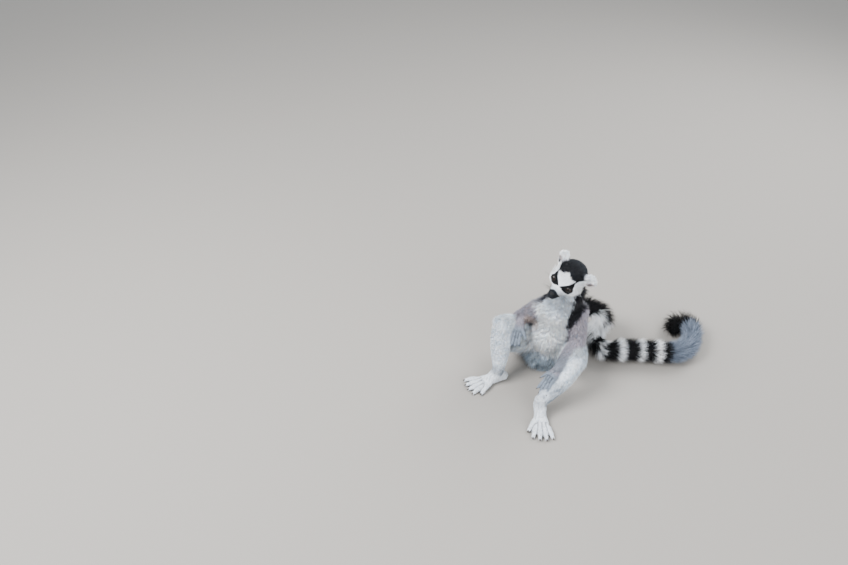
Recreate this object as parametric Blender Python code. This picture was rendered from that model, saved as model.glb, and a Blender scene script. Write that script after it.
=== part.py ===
"""A half-grown ring-tailed lemur, life size, sitting upright on the floor.

It sits on its rump with both knees raised and apart, its right hand on its right thigh and its left
hand on its left shin. Its head is turned to its right and tipped to its left, and its tail arches up
behind its back, comes down on its left side and lies on the floor with the tip curled in.

Every solid reaches to the tips of the coat. Metres, +Z up. The origin is on the floor under the
pelvis, the belly faces -Y and the animal's left side is at +X.
"""

import math

import bmesh
import bpy
from mathutils import Euler, Matrix, Vector

# Driving sizes. The animal is half grown: its limbs are 0.73 and its head 0.8 of the adult's.
BODY = 0.73             # share of the adult's limb lengths
HEAD = 0.80             # share of the adult's head size
GAP = 0.0003            # between neighbouring solids, which touch in life
HAND_LENGTH = 0.070 * BODY
FINGER_RADIUS = 0.0036 * BODY
FOOT_LENGTH = 0.100 * BODY
TOE_RADIUS = 0.0060 * BODY
EYE_RADIUS = 0.00825 * HEAD
TAIL_RADIUS = 0.0218    # to the tips of the tail's coat, where it is fullest
DOME = (0.38, 0.71, 0.94)   # heights of the rings of a round end, in radii

# The head's frame: its origin is inside the skull, its face looks to -Y and its crown is up.
HEAD_PLACE = Vector((0.0166, -0.0372, 0.2160))
HEAD_TURN = Euler((math.radians(-2.5), math.radians(16.5), math.radians(-11.5)), "YXZ")
HEAD_FRAME = Matrix.Translation(HEAD_PLACE) @ HEAD_TURN.to_matrix().to_4x4()
EYE_PLACE = (0.0132, -0.0136, 0.0044)   # of the left eye, in the head's frame


def clear_scene():
    for old in list(bpy.data.objects):
        bpy.data.objects.remove(old)


# ---------------------------------------------------------------- shapes that the animal is built from


def smooth_path(points, steps):
    """A Catmull-Rom curve through rows of numbers, with this many steps between neighbours."""
    rows = [Vector(p) for p in points]
    rows = [2 * rows[0] - rows[1], *rows, 2 * rows[-1] - rows[-2]]
    path = []
    for before, start, end, after in zip(rows, rows[1:], rows[2:], rows[3:]):
        for step in range(steps):
            t = step / steps
            path.append(
                0.5 * (2 * start + t * (end - before)
                       + t * t * (2 * before - 5 * start + 4 * end - after)
                       + t ** 3 * (3 * start - before - 3 * end + after))
            )
    return [*path, rows[-2]]


def rings_along(stations, steps=3, rounded=(True, True)):
    """Rings (centre, way ahead, half sizes) through stations of (x, y, z, half width, half depth)."""
    line = smooth_path([s[:3] for s in stations], steps)
    sizes = smooth_path([(s[3], s[-1], 0) for s in stations], steps)
    last = len(line) - 1
    rings = []
    for i, (centre, size) in enumerate(zip(line, sizes)):
        ahead = (line[min(i + 1, last)] - line[max(i - 1, 0)]).normalized()
        rings.append((centre, ahead, size))
    if rounded[0]:
        centre, ahead, size = rings[0]
        rings = [(centre - ahead * min(size[:2]) * h, ahead, size * math.sqrt(1 - h * h))
                 for h in reversed(DOME)] + rings
    if rounded[1]:
        centre, ahead, size = rings[-1]
        rings += [(centre + ahead * min(size[:2]) * h, ahead, size * math.sqrt(1 - h * h)) for h in DOME]
    return rings


def tube(rings, sides, side_hint):
    """A closed tube on these rings. Half width runs along side_hint as far as the rings let it."""
    shape = bmesh.new()
    loops = []
    across = Vector(side_hint)
    for centre, ahead, size in rings:
        across = (across - ahead * across.dot(ahead)).normalized()
        up = ahead.cross(across)
        turns = [2 * math.pi * k / sides for k in range(sides)]
        loops.append([
            shape.verts.new(centre + across * size[0] * math.cos(a) + up * size[1] * math.sin(a))
            for a in turns
        ])
    for one, other in zip(loops, loops[1:]):
        for k in range(sides):
            n = (k + 1) % sides
            shape.faces.new((one[k], one[n], other[n], other[k]))
    shape.faces.new(loops[0][::-1])
    shape.faces.new(loops[-1])
    bmesh.ops.recalc_face_normals(shape, faces=shape.faces)
    return shape


def loft(stations, sides=12, steps=3, side_hint=(1, 0, 0)):
    """A tube with round ends through stations of (x, y, z, half width, half depth)."""
    return tube(rings_along(stations, steps), sides, side_hint)


def ball(centre, radii, turn=Matrix.Identity(4), detail=16):
    """An ellipsoid with these three radii."""
    shape = bmesh.new()
    place = turn @ Matrix.Translation(centre) @ Matrix.Diagonal((*radii, 1))
    bmesh.ops.create_uvsphere(shape, u_segments=detail, v_segments=detail // 2, radius=1, matrix=place)
    return shape


def object_from(shape, name):
    mesh = bpy.data.meshes.new(name)
    shape.to_mesh(mesh)
    shape.free()
    thing = bpy.data.objects.new(name, mesh)
    bpy.context.scene.collection.objects.link(thing)
    return thing


def evaluated(thing):
    """Replaces the object's mesh by what its modifiers make of it."""
    graph = bpy.context.evaluated_depsgraph_get()
    made = bpy.data.meshes.new_from_object(thing.evaluated_get(graph))
    thing.modifiers.clear()
    thing.data = made
    return thing


def fuse(name, shapes, voxel, smoothing, triangles):
    """One skin round overlapping shapes: a voxel remesh, smoothed, and thinned to this many triangles."""
    whole = bmesh.new()
    for shape in shapes:
        piece = bpy.data.meshes.new("piece")
        shape.to_mesh(piece)
        shape.free()
        whole.from_mesh(piece)
        bpy.data.meshes.remove(piece)
    thing = object_from(whole, name)
    remesh = thing.modifiers.new("Skin", "REMESH")
    remesh.mode = "VOXEL"
    remesh.voxel_size = voxel
    if smoothing:
        soften = thing.modifiers.new("Soften", "SMOOTH")
        soften.factor = 0.5
        soften.iterations = smoothing
    evaluated(thing)
    count = sum(len(face.vertices) - 2 for face in thing.data.polygons)
    if count > triangles:
        thin = thing.modifiers.new("Thin", "DECIMATE")
        thin.ratio = triangles / count
        thin.use_collapse_triangulate = True
        evaluated(thing)
    return thing


def largest_body(thing):
    """Keeps the largest loose body of the mesh, without the slivers that a cut can leave."""
    shape = bmesh.new()
    shape.from_mesh(thing.data)
    unseen = set(shape.verts)
    bodies = []
    while unseen:
        body, edge_of_search = set(), [unseen.pop()]
        while edge_of_search:
            vert = edge_of_search.pop()
            body.add(vert)
            for edge in vert.link_edges:
                other = edge.other_vert(vert)
                if other in unseen:
                    unseen.discard(other)
                    edge_of_search.append(other)
        bodies.append(body)
    bodies.sort(key=len)
    bmesh.ops.delete(shape, geom=[v for body in bodies[:-1] for v in body], context="VERTS")
    shape.to_mesh(thing.data)
    shape.free()


def cut_flat(thing, point, normal):
    """Cuts the mesh at a plane, closes it, and keeps the side that the normal points away from."""
    shape = bmesh.new()
    shape.from_mesh(thing.data)
    everything = [*shape.verts, *shape.edges, *shape.faces]
    cut = bmesh.ops.bisect_plane(
        shape, geom=everything, plane_co=point, plane_no=normal, clear_outer=True, dist=1e-6)
    rim = [e for e in cut["geom_cut"] if isinstance(e, bmesh.types.BMEdge)]
    if rim:
        bmesh.ops.holes_fill(shape, edges=rim)
        bmesh.ops.triangulate(shape, faces=shape.faces)
    shape.to_mesh(thing.data)
    shape.free()
    return thing


def copy_of(thing, name):
    twin = bpy.data.objects.new(name, thing.data.copy())
    bpy.context.scene.collection.objects.link(twin)
    return twin


def parted(thing, far_name, point, normal):
    """Parts the mesh at a plane. The far side, where the normal points, becomes a new object."""
    far = copy_of(thing, far_name)
    half = Vector(normal).normalized() * GAP / 2
    cut_flat(thing, Vector(point) - half, normal)
    cut_flat(far, Vector(point) + half, -Vector(normal))
    return thing, far


def boxes_meet(one, other):
    def span(thing):
        corners = [v.co for v in thing.data.vertices]
        return [(min(c[k] for c in corners) - GAP, max(c[k] for c in corners) + GAP) for k in range(3)]
    return all(a[0] < b[1] and b[0] < a[1] for a, b in zip(span(one), span(other)))


def trim(thing, neighbours):
    """Takes its neighbours, grown by the gap, out of the mesh, so that it meets them face to face."""
    for other in neighbours:
        if not boxes_meet(thing, other):
            continue
        cutter = copy_of(other, "cutter")
        cutter.data.vertices.foreach_set(
            "co", [c for v in other.data.vertices for c in v.co + v.normal * GAP])
        cut = thing.modifiers.new("Cut", "BOOLEAN")
        cut.operation = "DIFFERENCE"
        cut.solver = "EXACT"
        cut.object = cutter
        evaluated(thing)
        bpy.data.objects.remove(cutter)
        largest_body(thing)
    return thing


def mirrored(points, side):
    """The same points on the animal's left (side 1) or right (side -1)."""
    return [(p[0] * side, *p[1:]) for p in points]


# ---------------------------------------------------------------- materials


def material(name, colour, roughness):
    """A plain finish in an sRGB hex colour."""
    made = bpy.data.materials.new(name)
    made.use_nodes = True
    shader = made.node_tree.nodes["Principled BSDF"]
    rgb = [int(colour[i:i + 2], 16) / 255 for i in (1, 3, 5)]
    shader.inputs["Base Color"].default_value = (*[c ** 2.2 for c in rgb], 1)
    shader.inputs["Roughness"].default_value = roughness
    return made


# ---------------------------------------------------------------- head, eyes and ears


def build_eyes():
    eyes = []
    for name, side in (("eye_left", 1), ("eye_right", -1)):
        centre = mirrored([EYE_PLACE], side)[0]
        eyes.append(object_from(ball(centre, [EYE_RADIUS] * 3, HEAD_FRAME, 12), name))
    return eyes


def build_head():
    """A round braincase, a short tapering muzzle, full cheeks, and a brow over each eye."""
    braincase = ball((0, 0.0080, 0.0082), (0.0258, 0.0290, 0.0250))
    face = loft([
        (0, 0.0000, -0.0010, 0.0235, 0.0200),
        (0, -0.0080, -0.0018, 0.0200, 0.0180),
        (0, -0.0148, -0.0042, 0.0152, 0.0144),
        (0, -0.0208, -0.0062, 0.0118, 0.0115),
        (0, -0.0266, -0.0076, 0.0095, 0.0094),
        (0, -0.0312, -0.0080, 0.0080, 0.0076),
    ])
    nose = ball((0, -0.0346, -0.0050), (0.0052, 0.0045, 0.0042))
    shapes = [braincase, face, nose]
    for side in (1, -1):
        shapes.append(ball((0.0125 * side, 0.0005, -0.0020), (0.0150, 0.0175, 0.0145)))
        shapes.append(ball((0.0136 * side, -0.0106, 0.0040), (0.0096, 0.0078, 0.0096)))
        shapes.append(ball((0.0110 * side, -0.0112, 0.0114), (0.0080, 0.0072, 0.0050)))
    for shape in shapes:
        shape.transform(HEAD_FRAME)
    return fuse("head", shapes, voxel=0.0011, smoothing=6, triangles=850)


def build_ears():
    """Each ear is a short rounded leaf of fur, cupped forwards and out."""
    ears = []
    for name, side in (("ear_left", 1), ("ear_right", -1)):
        root = Vector((0.0165 * side, 0.0070, 0.0130))
        tip = Vector((0.0328 * side, 0.0160, 0.0290))
        opening = Vector((0.35 * side, -0.92, -0.14))
        shape = loft([
            (*root, 0.0102, 0.0070),
            (*root.lerp(tip, 0.35), 0.0126, 0.0062),
            (*root.lerp(tip, 0.72), 0.0124, 0.0048),
            (*tip, 0.0086, 0.0032),
        ], side_hint=(tip - root).cross(opening))
        shape.transform(HEAD_FRAME)
        ear = fuse(name, [shape], voxel=0.0011, smoothing=4, triangles=160)
        hollow = ball(root.lerp(tip, 0.68) + opening * 0.0092, [0.0078] * 3, HEAD_FRAME, 12)
        cutter = object_from(hollow, "cutter")
        cut = ear.modifiers.new("Cup", "BOOLEAN")
        cut.object = cutter
        cut.solver = "EXACT"
        evaluated(ear)
        bpy.data.objects.remove(cutter)
        ears.append(ear)
    return ears


# ---------------------------------------------------------------- trunk and neck

NECK_BASE = Vector((0.0125, -0.0130, 0.1610))


def build_trunk():
    """The trunk widens down to the rump, which is flat where it sits, and the neck leans to the left."""
    column = loft([
        (0.000, -0.005, 0.006, 0.030, 0.034),
        (0.000, -0.002, 0.025, 0.044, 0.046),
        (0.000, 0.004, 0.050, 0.043, 0.045),
        (0.000, 0.003, 0.076, 0.039, 0.044),
        (0.002, -0.001, 0.102, 0.035, 0.042),
        (0.005, -0.005, 0.126, 0.032, 0.038),
        (0.009, -0.008, 0.146, 0.029, 0.033),
        (0.014, -0.012, 0.164, 0.0275, 0.029),
        (0.017, -0.018, 0.180, 0.0270, 0.028),
        (0.018, -0.026, 0.196, 0.0255, 0.025),
    ], sides=20)
    breast = ball((0.006, -0.022, 0.130), (0.025, 0.024, 0.032))
    belly = ball((-0.002, -0.022, 0.074), (0.032, 0.030, 0.034))
    shoulder_line = loft([
        (-0.016, -0.014, 0.129, 0.0205),
        (0.010, -0.008, 0.141, 0.0270),
        (0.031, -0.004, 0.137, 0.0205),
    ], side_hint=(0, 1, 0))
    return fuse("trunk", [column, breast, belly, shoulder_line], voxel=0.0030, smoothing=8, triangles=880)


# ---------------------------------------------------------------- arms and hands


def digits(root, tips, thickness):
    """Fingers or toes, each a thin tapering finger from the palm's end to its tip, humped in the middle."""
    shapes = []
    for base, tip, hump in tips:
        base, tip = Vector(base) + root, Vector(tip) + root
        middle = base.lerp(tip, 0.5) + Vector(hump)
        shapes.append(loft([
            (*base, thickness),
            (*middle, thickness * 0.92),
            (*tip, thickness * 0.72),
        ], sides=8, steps=2))
    return shapes


SHOULDER = {1: Vector((0.0370, -0.0060, 0.1370)), -1: Vector((-0.0215, -0.0190, 0.1270))}
ELBOW = {1: Vector((0.0500, -0.0140, 0.0780)), -1: Vector((-0.0590, -0.0060, 0.0790))}
WRIST = {1: Vector((0.0405, -0.0800, 0.0680)), -1: Vector((-0.0450, -0.0455, 0.1060))}
SIDES = {1: "left", -1: "right"}


def build_arm(side):
    """Upper arm and forearm, parted at the plane that halves the elbow's bend."""
    shoulder, elbow, wrist = SHOULDER[side], ELBOW[side], WRIST[side]
    upper = loft([
        (*shoulder, 0.0195),
        (*shoulder.lerp(elbow, 0.5), 0.0170),
        (*elbow, 0.0135),
    ])
    lower = loft([
        (*elbow, 0.0140),
        (*elbow.lerp(wrist, 0.35), 0.0145),
        (*elbow.lerp(wrist, 0.7), 0.0108),
        (*wrist, 0.0085),
    ])
    arm = fuse(f"upper_arm_{SIDES[side]}", [upper, lower], voxel=0.0022, smoothing=4, triangles=305)
    bend = (wrist - elbow).normalized() + (elbow - shoulder).normalized()
    return parted(arm, f"forearm_{SIDES[side]}", elbow, bend)


def build_hand(side):
    """A narrow palm with four fingers and a thumb, laid along what it rests on."""
    wrist = WRIST[side]
    if side > 0:
        along, across, down = Vector((-0.30, -0.80, -0.56)), Vector((1, -0.4, 0.1)), Vector((0.3, 0.3, -0.9))
        curl = 0.3
    else:
        along, across, down = Vector((0.10, -0.80, -0.58)), Vector((1, 0.1, 0.2)), Vector((-0.2, 0.5, -0.84))
        curl = 0.8
    along.normalize()
    across = (across - along * across.dot(along)).normalized()
    palm_length = HAND_LENGTH * 0.45
    finger_length = HAND_LENGTH * 0.55
    palm = loft([
        (*wrist, 0.0080, 0.0060),
        (*(wrist + along * palm_length * 0.5), 0.0100, 0.0052),
        (*(wrist + along * palm_length), 0.0098, 0.0045),
    ], side_hint=across)
    knuckles = wrist + along * palm_length
    fingers = []
    reach = (along * (1 - curl * 0.55) + down * curl * 0.75) * finger_length
    for spread, share in ((-1.5, 0.86), (-0.5, 1.0), (0.5, 1.0), (1.5, 0.82)):
        base = across * spread * 0.0048
        tip = reach * share + across * spread * 0.0070
        fingers.append((base, tip, along * finger_length * curl * 0.3))
    fingers.append((
        -along * palm_length * 0.55 - across * side * 0.0070,
        along * finger_length * 0.10 - across * side * 0.0180 + down * 0.0060,
        -down * 0.0015,
    ))
    shapes = [palm, *digits(knuckles, fingers, FINGER_RADIUS)]
    return fuse(f"hand_{SIDES[side]}", shapes, voxel=0.0009, smoothing=2, triangles=420)


# ---------------------------------------------------------------- legs and feet

HIP = {1: Vector((0.029, 0.006, 0.044)), -1: Vector((-0.029, 0.006, 0.044))}
KNEE = {1: Vector((0.0625, -0.0480, 0.070)), -1: Vector((-0.072, -0.059, 0.100))}
ANKLE = {1: Vector((0.0325, -0.1220, 0.024)), -1: Vector((-0.0565, -0.0915, 0.024))}
TOES = {1: Vector((0.0560, -0.1640, 0.006)), -1: Vector((-0.088, -0.130, 0.006))}


def build_leg(side):
    """Thigh and shin, parted at the plane that halves the knee's bend."""
    hip, knee, ankle = HIP[side], KNEE[side], ANKLE[side]
    buttock = hip.lerp(knee, 0.38) - Vector((0, 0, 0.006 if side > 0 else 0.013))
    calf = knee.lerp(ankle, 0.40) - Vector((0, 0, 0.0025))
    thigh = loft([
        (*hip, 0.0320),
        (*buttock, 0.0310),
        (*hip.lerp(knee, 0.75), 0.0225),
        (*knee, 0.0170),
    ])
    shin = loft([
        (*knee, 0.0170),
        (*calf, 0.0190),
        (*knee.lerp(ankle, 0.75), 0.0145),
        (*ankle, 0.0105),
    ])
    leg = fuse(f"thigh_{SIDES[side]}", [thigh, shin], voxel=0.0024, smoothing=5, triangles=480)
    bend = (ankle - knee).normalized() + (knee - hip).normalized()
    return parted(leg, f"shin_{SIDES[side]}", knee, bend)


def build_foot(side):
    """A long flat foot: heel, narrow sole, four toes, and a big toe that stands out to the inner side."""
    ankle, toes = ANKLE[side], TOES[side]
    along = Vector((toes.x - ankle.x, toes.y - ankle.y, 0)).normalized()
    outer = Vector((-along.y, along.x, 0)) * side
    heel = Vector((ankle.x, ankle.y, 0.0073)) - along * 0.010
    sole = loft([
        (*heel, 0.0085, 0.0080),
        (*(heel + along * FOOT_LENGTH * 0.25), 0.0092, 0.0078),
        (*(heel + along * FOOT_LENGTH * 0.48 - Vector((0, 0, 0.0010))), 0.0120, 0.0066),
        (*(heel + along * FOOT_LENGTH * 0.62 - Vector((0, 0, 0.0020))), 0.0128, 0.0055),
    ], side_hint=outer)
    instep = loft([
        (ankle.x, ankle.y, ankle.z + 0.006, 0.0098),
        (*(ankle - Vector((0, 0, 0.006)) + along * 0.004), 0.0098),
        (*(heel + along * FOOT_LENGTH * 0.36 + Vector((0, 0, 0.001))), 0.0085),
    ])
    ball_of_foot = heel + along * FOOT_LENGTH * 0.62
    toe_tips = []
    for spread, share in ((-1.5, 0.84), (-0.5, 1.0), (0.5, 1.02), (1.5, 0.90)):
        base = outer * spread * 0.0066 - Vector((0, 0, 0.0026))
        tip = along * FOOT_LENGTH * 0.30 * share + outer * spread * 0.0104 - Vector((0, 0, 0.0040))
        toe_tips.append((base, tip, (0, 0, 0.0022)))
    toe_tips.append((
        -along * FOOT_LENGTH * 0.22 - outer * 0.0080 - Vector((0, 0, 0.0022)),
        along * FOOT_LENGTH * 0.08 - outer * 0.0215 - Vector((0, 0, 0.0042)),
        (0, 0, 0.0020),
    ))
    shapes = [sole, instep, *digits(ball_of_foot, toe_tips, TOE_RADIUS)]
    return fuse(f"foot_{SIDES[side]}", shapes, voxel=0.0011, smoothing=2, triangles=500)


# ---------------------------------------------------------------- tail

TAIL_ROUTE = (          # from inside the rump, over its arch, down to the floor and round to the tip
    (0.0020, 0.040, 0.0280), (0.0035, 0.057, 0.0365), (0.0080, 0.074, 0.0460), (0.017, 0.090, 0.0535),
    (0.0310, 0.102, 0.0570), (0.0480, 0.104, 0.0545), (0.0600, 0.093, 0.0470), (0.061, 0.077, 0.0375),
    (0.0640, 0.064, 0.0295), (0.0740, 0.053, 0.0245), (0.0890, 0.051, 0.0218), (0.106, 0.060, 0.0218),
    (0.1300, 0.074, 0.0218), (0.1600, 0.088, 0.0218), (0.1860, 0.100, 0.0218), (0.204, 0.116, 0.0214),
    (0.2140, 0.138, 0.0200), (0.2150, 0.163, 0.0180), (0.2085, 0.187, 0.0158), (0.193, 0.200, 0.0141),
    (0.1770, 0.192, 0.0130), (0.1740, 0.174, 0.0125),
)
TAIL_LENGTHS = 5        # nodes along the tail
TAIL_STEPS = 45         # rings along the tail


def tail_radius(share):
    """Half the coat's thickness at this share of the tail: slim at the root, full, then slim in the curl."""
    root = min(1.0, 0.62 + 1.2 * share)
    curl = max(0.0, share - 0.66) / 0.34
    return TAIL_RADIUS * root * (1 - 0.45 * curl * curl * (3 - 2 * curl))


def build_tail():
    """The tail is made as lofted lengths along one smooth line, a gap apart."""
    fine = smooth_path(TAIL_ROUTE, 24)
    run = [0.0]
    for a, b in zip(fine, fine[1:]):
        run.append(run[-1] + (b - a).length)

    def at(share):
        want = share * run[-1]
        k = max(1, next((i for i, r in enumerate(run) if r >= want), len(run) - 1))
        t = (want - run[k - 1]) / (run[k] - run[k - 1])
        return fine[k - 1].lerp(fine[k], t)

    stations = [(*at(k / TAIL_STEPS), tail_radius(k / TAIL_STEPS)) for k in range(TAIL_STEPS + 1)]
    rings = rings_along(stations, steps=1, rounded=(False, True))
    per_length = TAIL_STEPS // TAIL_LENGTHS
    lengths = []
    for n in range(TAIL_LENGTHS):
        is_tip = n == TAIL_LENGTHS - 1
        own = rings[n * per_length:None if is_tip else (n + 1) * per_length + 1]
        if n:
            centre, ahead, size = own[0]
            own[0] = (centre + ahead * GAP, ahead, size)
        lengths.append(object_from(tube(own, 12, (0, 0, 1)), f"tail_{n + 1}"))
    return lengths


# ---------------------------------------------------------------- the animal


def build_lemur():
    clear_scene()
    eyes = build_eyes()
    head = build_head()
    trunk = build_trunk()
    trunk, neck = parted(trunk, "neck", NECK_BASE, (0.10, -0.10, 1))
    order = [*eyes, head, *build_ears(), neck, trunk]
    for side in (1, -1):
        order += [*build_leg(side), build_foot(side)]
    for side in (1, -1):
        order += [*build_arm(side), build_hand(side)]
    done = []
    for thing in order:
        trim(thing, done)
        done.append(thing)
    tail = build_tail()
    for thing in tail:
        trim(thing, done)
    for thing in done + tail:
        cut_flat(thing, (0, 0, 0), (0, 0, -1))
    return done + tail


def finish(nodes):
    grey = material("grey_coat", "#8b8685", 0.9)
    white = material("white_coat", "#dcd9d6", 0.9)
    black = material("ringed_coat", "#2b2a2c", 0.9)
    wet = material("eye", "#4a2410", 0.1)
    for node in nodes:
        coat = grey
        if node.name.startswith(("ear", "foot", "shin", "hand")):
            coat = white
        if node.name.startswith("tail"):
            coat = black
        if node.name.startswith("eye"):
            coat = wet
        node.data.materials.clear()
        node.data.materials.append(coat)
        node.data.shade_smooth()
        node.data.set_sharp_from_angle(angle=math.radians(50))


finish(build_lemur())
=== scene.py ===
import math

import bmesh
import bpy
import numpy as np
from mathutils import Euler, Matrix, Vector
from mathutils.bvhtree import BVHTree
from mathutils.kdtree import KDTree


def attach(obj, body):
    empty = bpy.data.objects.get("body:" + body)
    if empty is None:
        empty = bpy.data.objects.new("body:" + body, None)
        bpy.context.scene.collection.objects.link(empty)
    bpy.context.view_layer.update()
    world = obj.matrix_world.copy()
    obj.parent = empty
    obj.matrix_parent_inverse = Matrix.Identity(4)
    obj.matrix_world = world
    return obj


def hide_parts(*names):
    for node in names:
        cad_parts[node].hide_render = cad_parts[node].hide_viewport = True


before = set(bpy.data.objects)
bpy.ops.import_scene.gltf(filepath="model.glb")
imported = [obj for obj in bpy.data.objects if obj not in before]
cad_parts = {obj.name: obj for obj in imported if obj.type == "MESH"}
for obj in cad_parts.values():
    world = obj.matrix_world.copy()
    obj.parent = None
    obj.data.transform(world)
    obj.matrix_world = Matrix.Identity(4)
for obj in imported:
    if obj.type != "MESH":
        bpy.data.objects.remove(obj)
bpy.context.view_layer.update()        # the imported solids, which carry the coat's outline and everything's place

# ---------------------------------------------------------------- the skin
# One skin covers the lemur's head, neck, trunk, limbs and tail. It is the solids fused without their
# gaps, smoothed, and sunk by the depth of the coat that stands on it: a millimetre on the face, half a
# centimetre on the trunk, and more on the tail, whose flesh is slim under its long hair.

# The half-grown animal sits on its rump with its knees up. These are the places of its joints, as the
# solids have them, in metres from the floor under its pelvis. Its left side, 1, is at +X, its right
# side is -1, and its belly faces -Y.
SIDE = {1: "left", -1: "right"}
GROWN = 0.73                            # its length as a share of an adult's
HEAD = (Matrix.Translation((0.0166, -0.0372, 0.2160))
        @ Euler((math.radians(-2.5), math.radians(16.5), math.radians(-11.5)), "YXZ").to_matrix().to_4x4())
EYE = (0.0132, -0.0136, 0.0044)         # centre of the left eyeball, in the head's own frame
EYE_RADIUS = 0.0066
SPINE = [(0.000, -0.005, 0.006), (0.000, 0.004, 0.050), (0.002, -0.001, 0.102),
         (0.009, -0.008, 0.146), (0.014, -0.012, 0.164), (0.018, -0.026, 0.200), (0.017, -0.034, 0.220)]
SHOULDER = {1: (0.0370, -0.0060, 0.1370), -1: (-0.0215, -0.0190, 0.1270)}
ELBOW = {1: (0.0500, -0.0140, 0.0780), -1: (-0.0590, -0.0060, 0.0790)}
WRIST = {1: (0.0405, -0.0800, 0.0680), -1: (-0.0450, -0.0455, 0.1060)}
HIP = {1: (0.029, 0.006, 0.044), -1: (-0.029, 0.006, 0.044)}
KNEE = {1: (0.0625, -0.0480, 0.070), -1: (-0.072, -0.059, 0.100)}
ANKLE = {1: (0.0325, -0.1220, 0.024), -1: (-0.0565, -0.0915, 0.024)}
TOES = {1: (0.0560, -0.1640, 0.006), -1: (-0.088, -0.130, 0.006)}
HAND_LENGTH = 0.070 * GROWN
FOOT_LENGTH = 0.100 * GROWN
TAIL = [
    (0.0020, 0.040, 0.0280), (0.0035, 0.057, 0.0365), (0.0080, 0.074, 0.0460), (0.017, 0.090, 0.0535),
    (0.0310, 0.102, 0.0570), (0.0480, 0.104, 0.0545), (0.0600, 0.093, 0.0470), (0.061, 0.077, 0.0375),
    (0.0640, 0.064, 0.0295), (0.0740, 0.053, 0.0245), (0.0890, 0.051, 0.0218), (0.106, 0.060, 0.0218),
    (0.1300, 0.074, 0.0218), (0.1600, 0.088, 0.0218), (0.1860, 0.100, 0.0218), (0.204, 0.116, 0.0214),
    (0.2140, 0.138, 0.0200), (0.2150, 0.163, 0.0180), (0.2085, 0.187, 0.0158), (0.193, 0.200, 0.0141),
    (0.1770, 0.192, 0.0130), (0.1740, 0.174, 0.0125),
]


def smooth_line(points, steps=12):
    """A Catmull-Rom curve through the points, as an array."""
    rows = np.array(points, float)
    rows = np.vstack([2 * rows[0] - rows[1], rows, 2 * rows[-1] - rows[-2]])
    line = []
    for before, start, end, after in zip(rows, rows[1:], rows[2:], rows[3:]):
        square, cube = 2 * before - 5 * start + 4 * end - after, 3 * start - before - 3 * end + after
        for t in np.arange(steps) / steps:
            line.append(0.5 * (2 * start + t * (end - before) + t * t * square + t ** 3 * cube))
    line.append(rows[-2])
    return np.array(line)


def unit(rows):
    """The same directions, each one unit long."""
    return rows / np.maximum(np.linalg.norm(rows, axis=-1, keepdims=True), 1e-12)


def along_line(points, line):
    """For each point: its way along the line, its distance from it, and the line's direction there."""
    best = np.full(len(points), np.inf)
    way = np.zeros(len(points))
    heading = np.zeros((len(points), 3))
    run = 0.0
    for start, end in zip(line, line[1:]):
        step = end - start
        length = np.linalg.norm(step)
        t = np.clip((points - start) @ step / length ** 2, 0, 1)
        far = np.linalg.norm(points - start - t[:, None] * step, axis=1)
        nearer = far < best
        best[nearer] = far[nearer]
        way[nearer] = run + t[nearer] * length
        heading[nearer] = step / length
        run += length
    return way, best, heading


def eased(value, low, high):
    """0 below low, 1 above high, and a smooth rise between them."""
    t = np.clip((value - low) / (high - low), 0, 1)
    return t * t * (3 - 2 * t)


def at_way(way, ways, line):
    """The places on a line that lie this way along it, where ways holds the way to each of its points."""
    return np.array([np.interp(way, ways, line[:, k]) for k in range(3)]).T


SPINE_LINE = smooth_line(SPINE)
WAY_OF_SPINE = along_line(SPINE_LINE, SPINE_LINE)[0]
TAIL_LINE = smooth_line(TAIL)
WAY_OF_TAIL = along_line(TAIL_LINE, TAIL_LINE)[0]
TAIL_LENGTH = np.linalg.norm(np.diff(TAIL_LINE, axis=0), axis=1).sum()
HEAD_MATRIX = np.array(HEAD)
TO_HEAD = np.array(HEAD.inverted())


def in_head(points):
    """Places in the head's own frame: X to its left, -Y to its nose and Z to its crown."""
    return points @ TO_HEAD[:3, :3].T + TO_HEAD[:3, 3]


def from_head(points):
    """The way back, from the head's frame to the world's."""
    return np.asarray(points) @ HEAD_MATRIX[:3, :3].T + HEAD_MATRIX[:3, 3]


def as_left(rows):
    """Places in the head's frame, with those of its right side turned over to the left."""
    return np.column_stack([np.abs(rows[:, 0]), rows[:, 1:]])


KNUCKLE_GAP, FINGERTIP_GAP = 0.0048, 0.0070
TOE_ROOT_GAP, TOE_TIP_GAP = 0.0066, 0.0104
HEEL_HEIGHT = 0.0073


def hand_digits(side):
    """The wrist's directions (along, across, down), and (root, middle, tip) of each finger."""
    along, across, down, curl = {
        1: ((-0.30, -0.80, -0.56), (1, -0.4, 0.1), (0.3, 0.3, -0.9), 0.3),
        -1: ((0.10, -0.80, -0.58), (1, 0.1, 0.2), (-0.2, 0.5, -0.84), 0.8),
    }[side]
    along, across, down = unit(np.array(along)), np.array(across), np.array(down)
    across = unit(across - along * across.dot(along))
    palm, finger = HAND_LENGTH * 0.45, HAND_LENGTH * 0.55
    knuckles = np.array(WRIST[side]) + along * palm
    reach = (along * (1 - curl * 0.55) + down * curl * 0.75) * finger
    digits = []
    for spread, share in ((-1.5, 0.86), (-0.5, 1.0), (0.5, 1.0), (1.5, 0.82)):
        base, tip = across * spread * KNUCKLE_GAP, reach * share + across * spread * FINGERTIP_GAP
        digits.append((base, (base + tip) / 2 + along * finger * curl * 0.3, tip))
    base = -along * palm * 0.55 - across * side * 0.0070
    tip = along * finger * 0.10 - across * side * 0.0180 + down * 0.0060
    digits.append((base, (base + tip) / 2 - down * 0.0015, tip))
    return (along, across, down), [tuple(knuckles + p for p in digit) for digit in digits]


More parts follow.
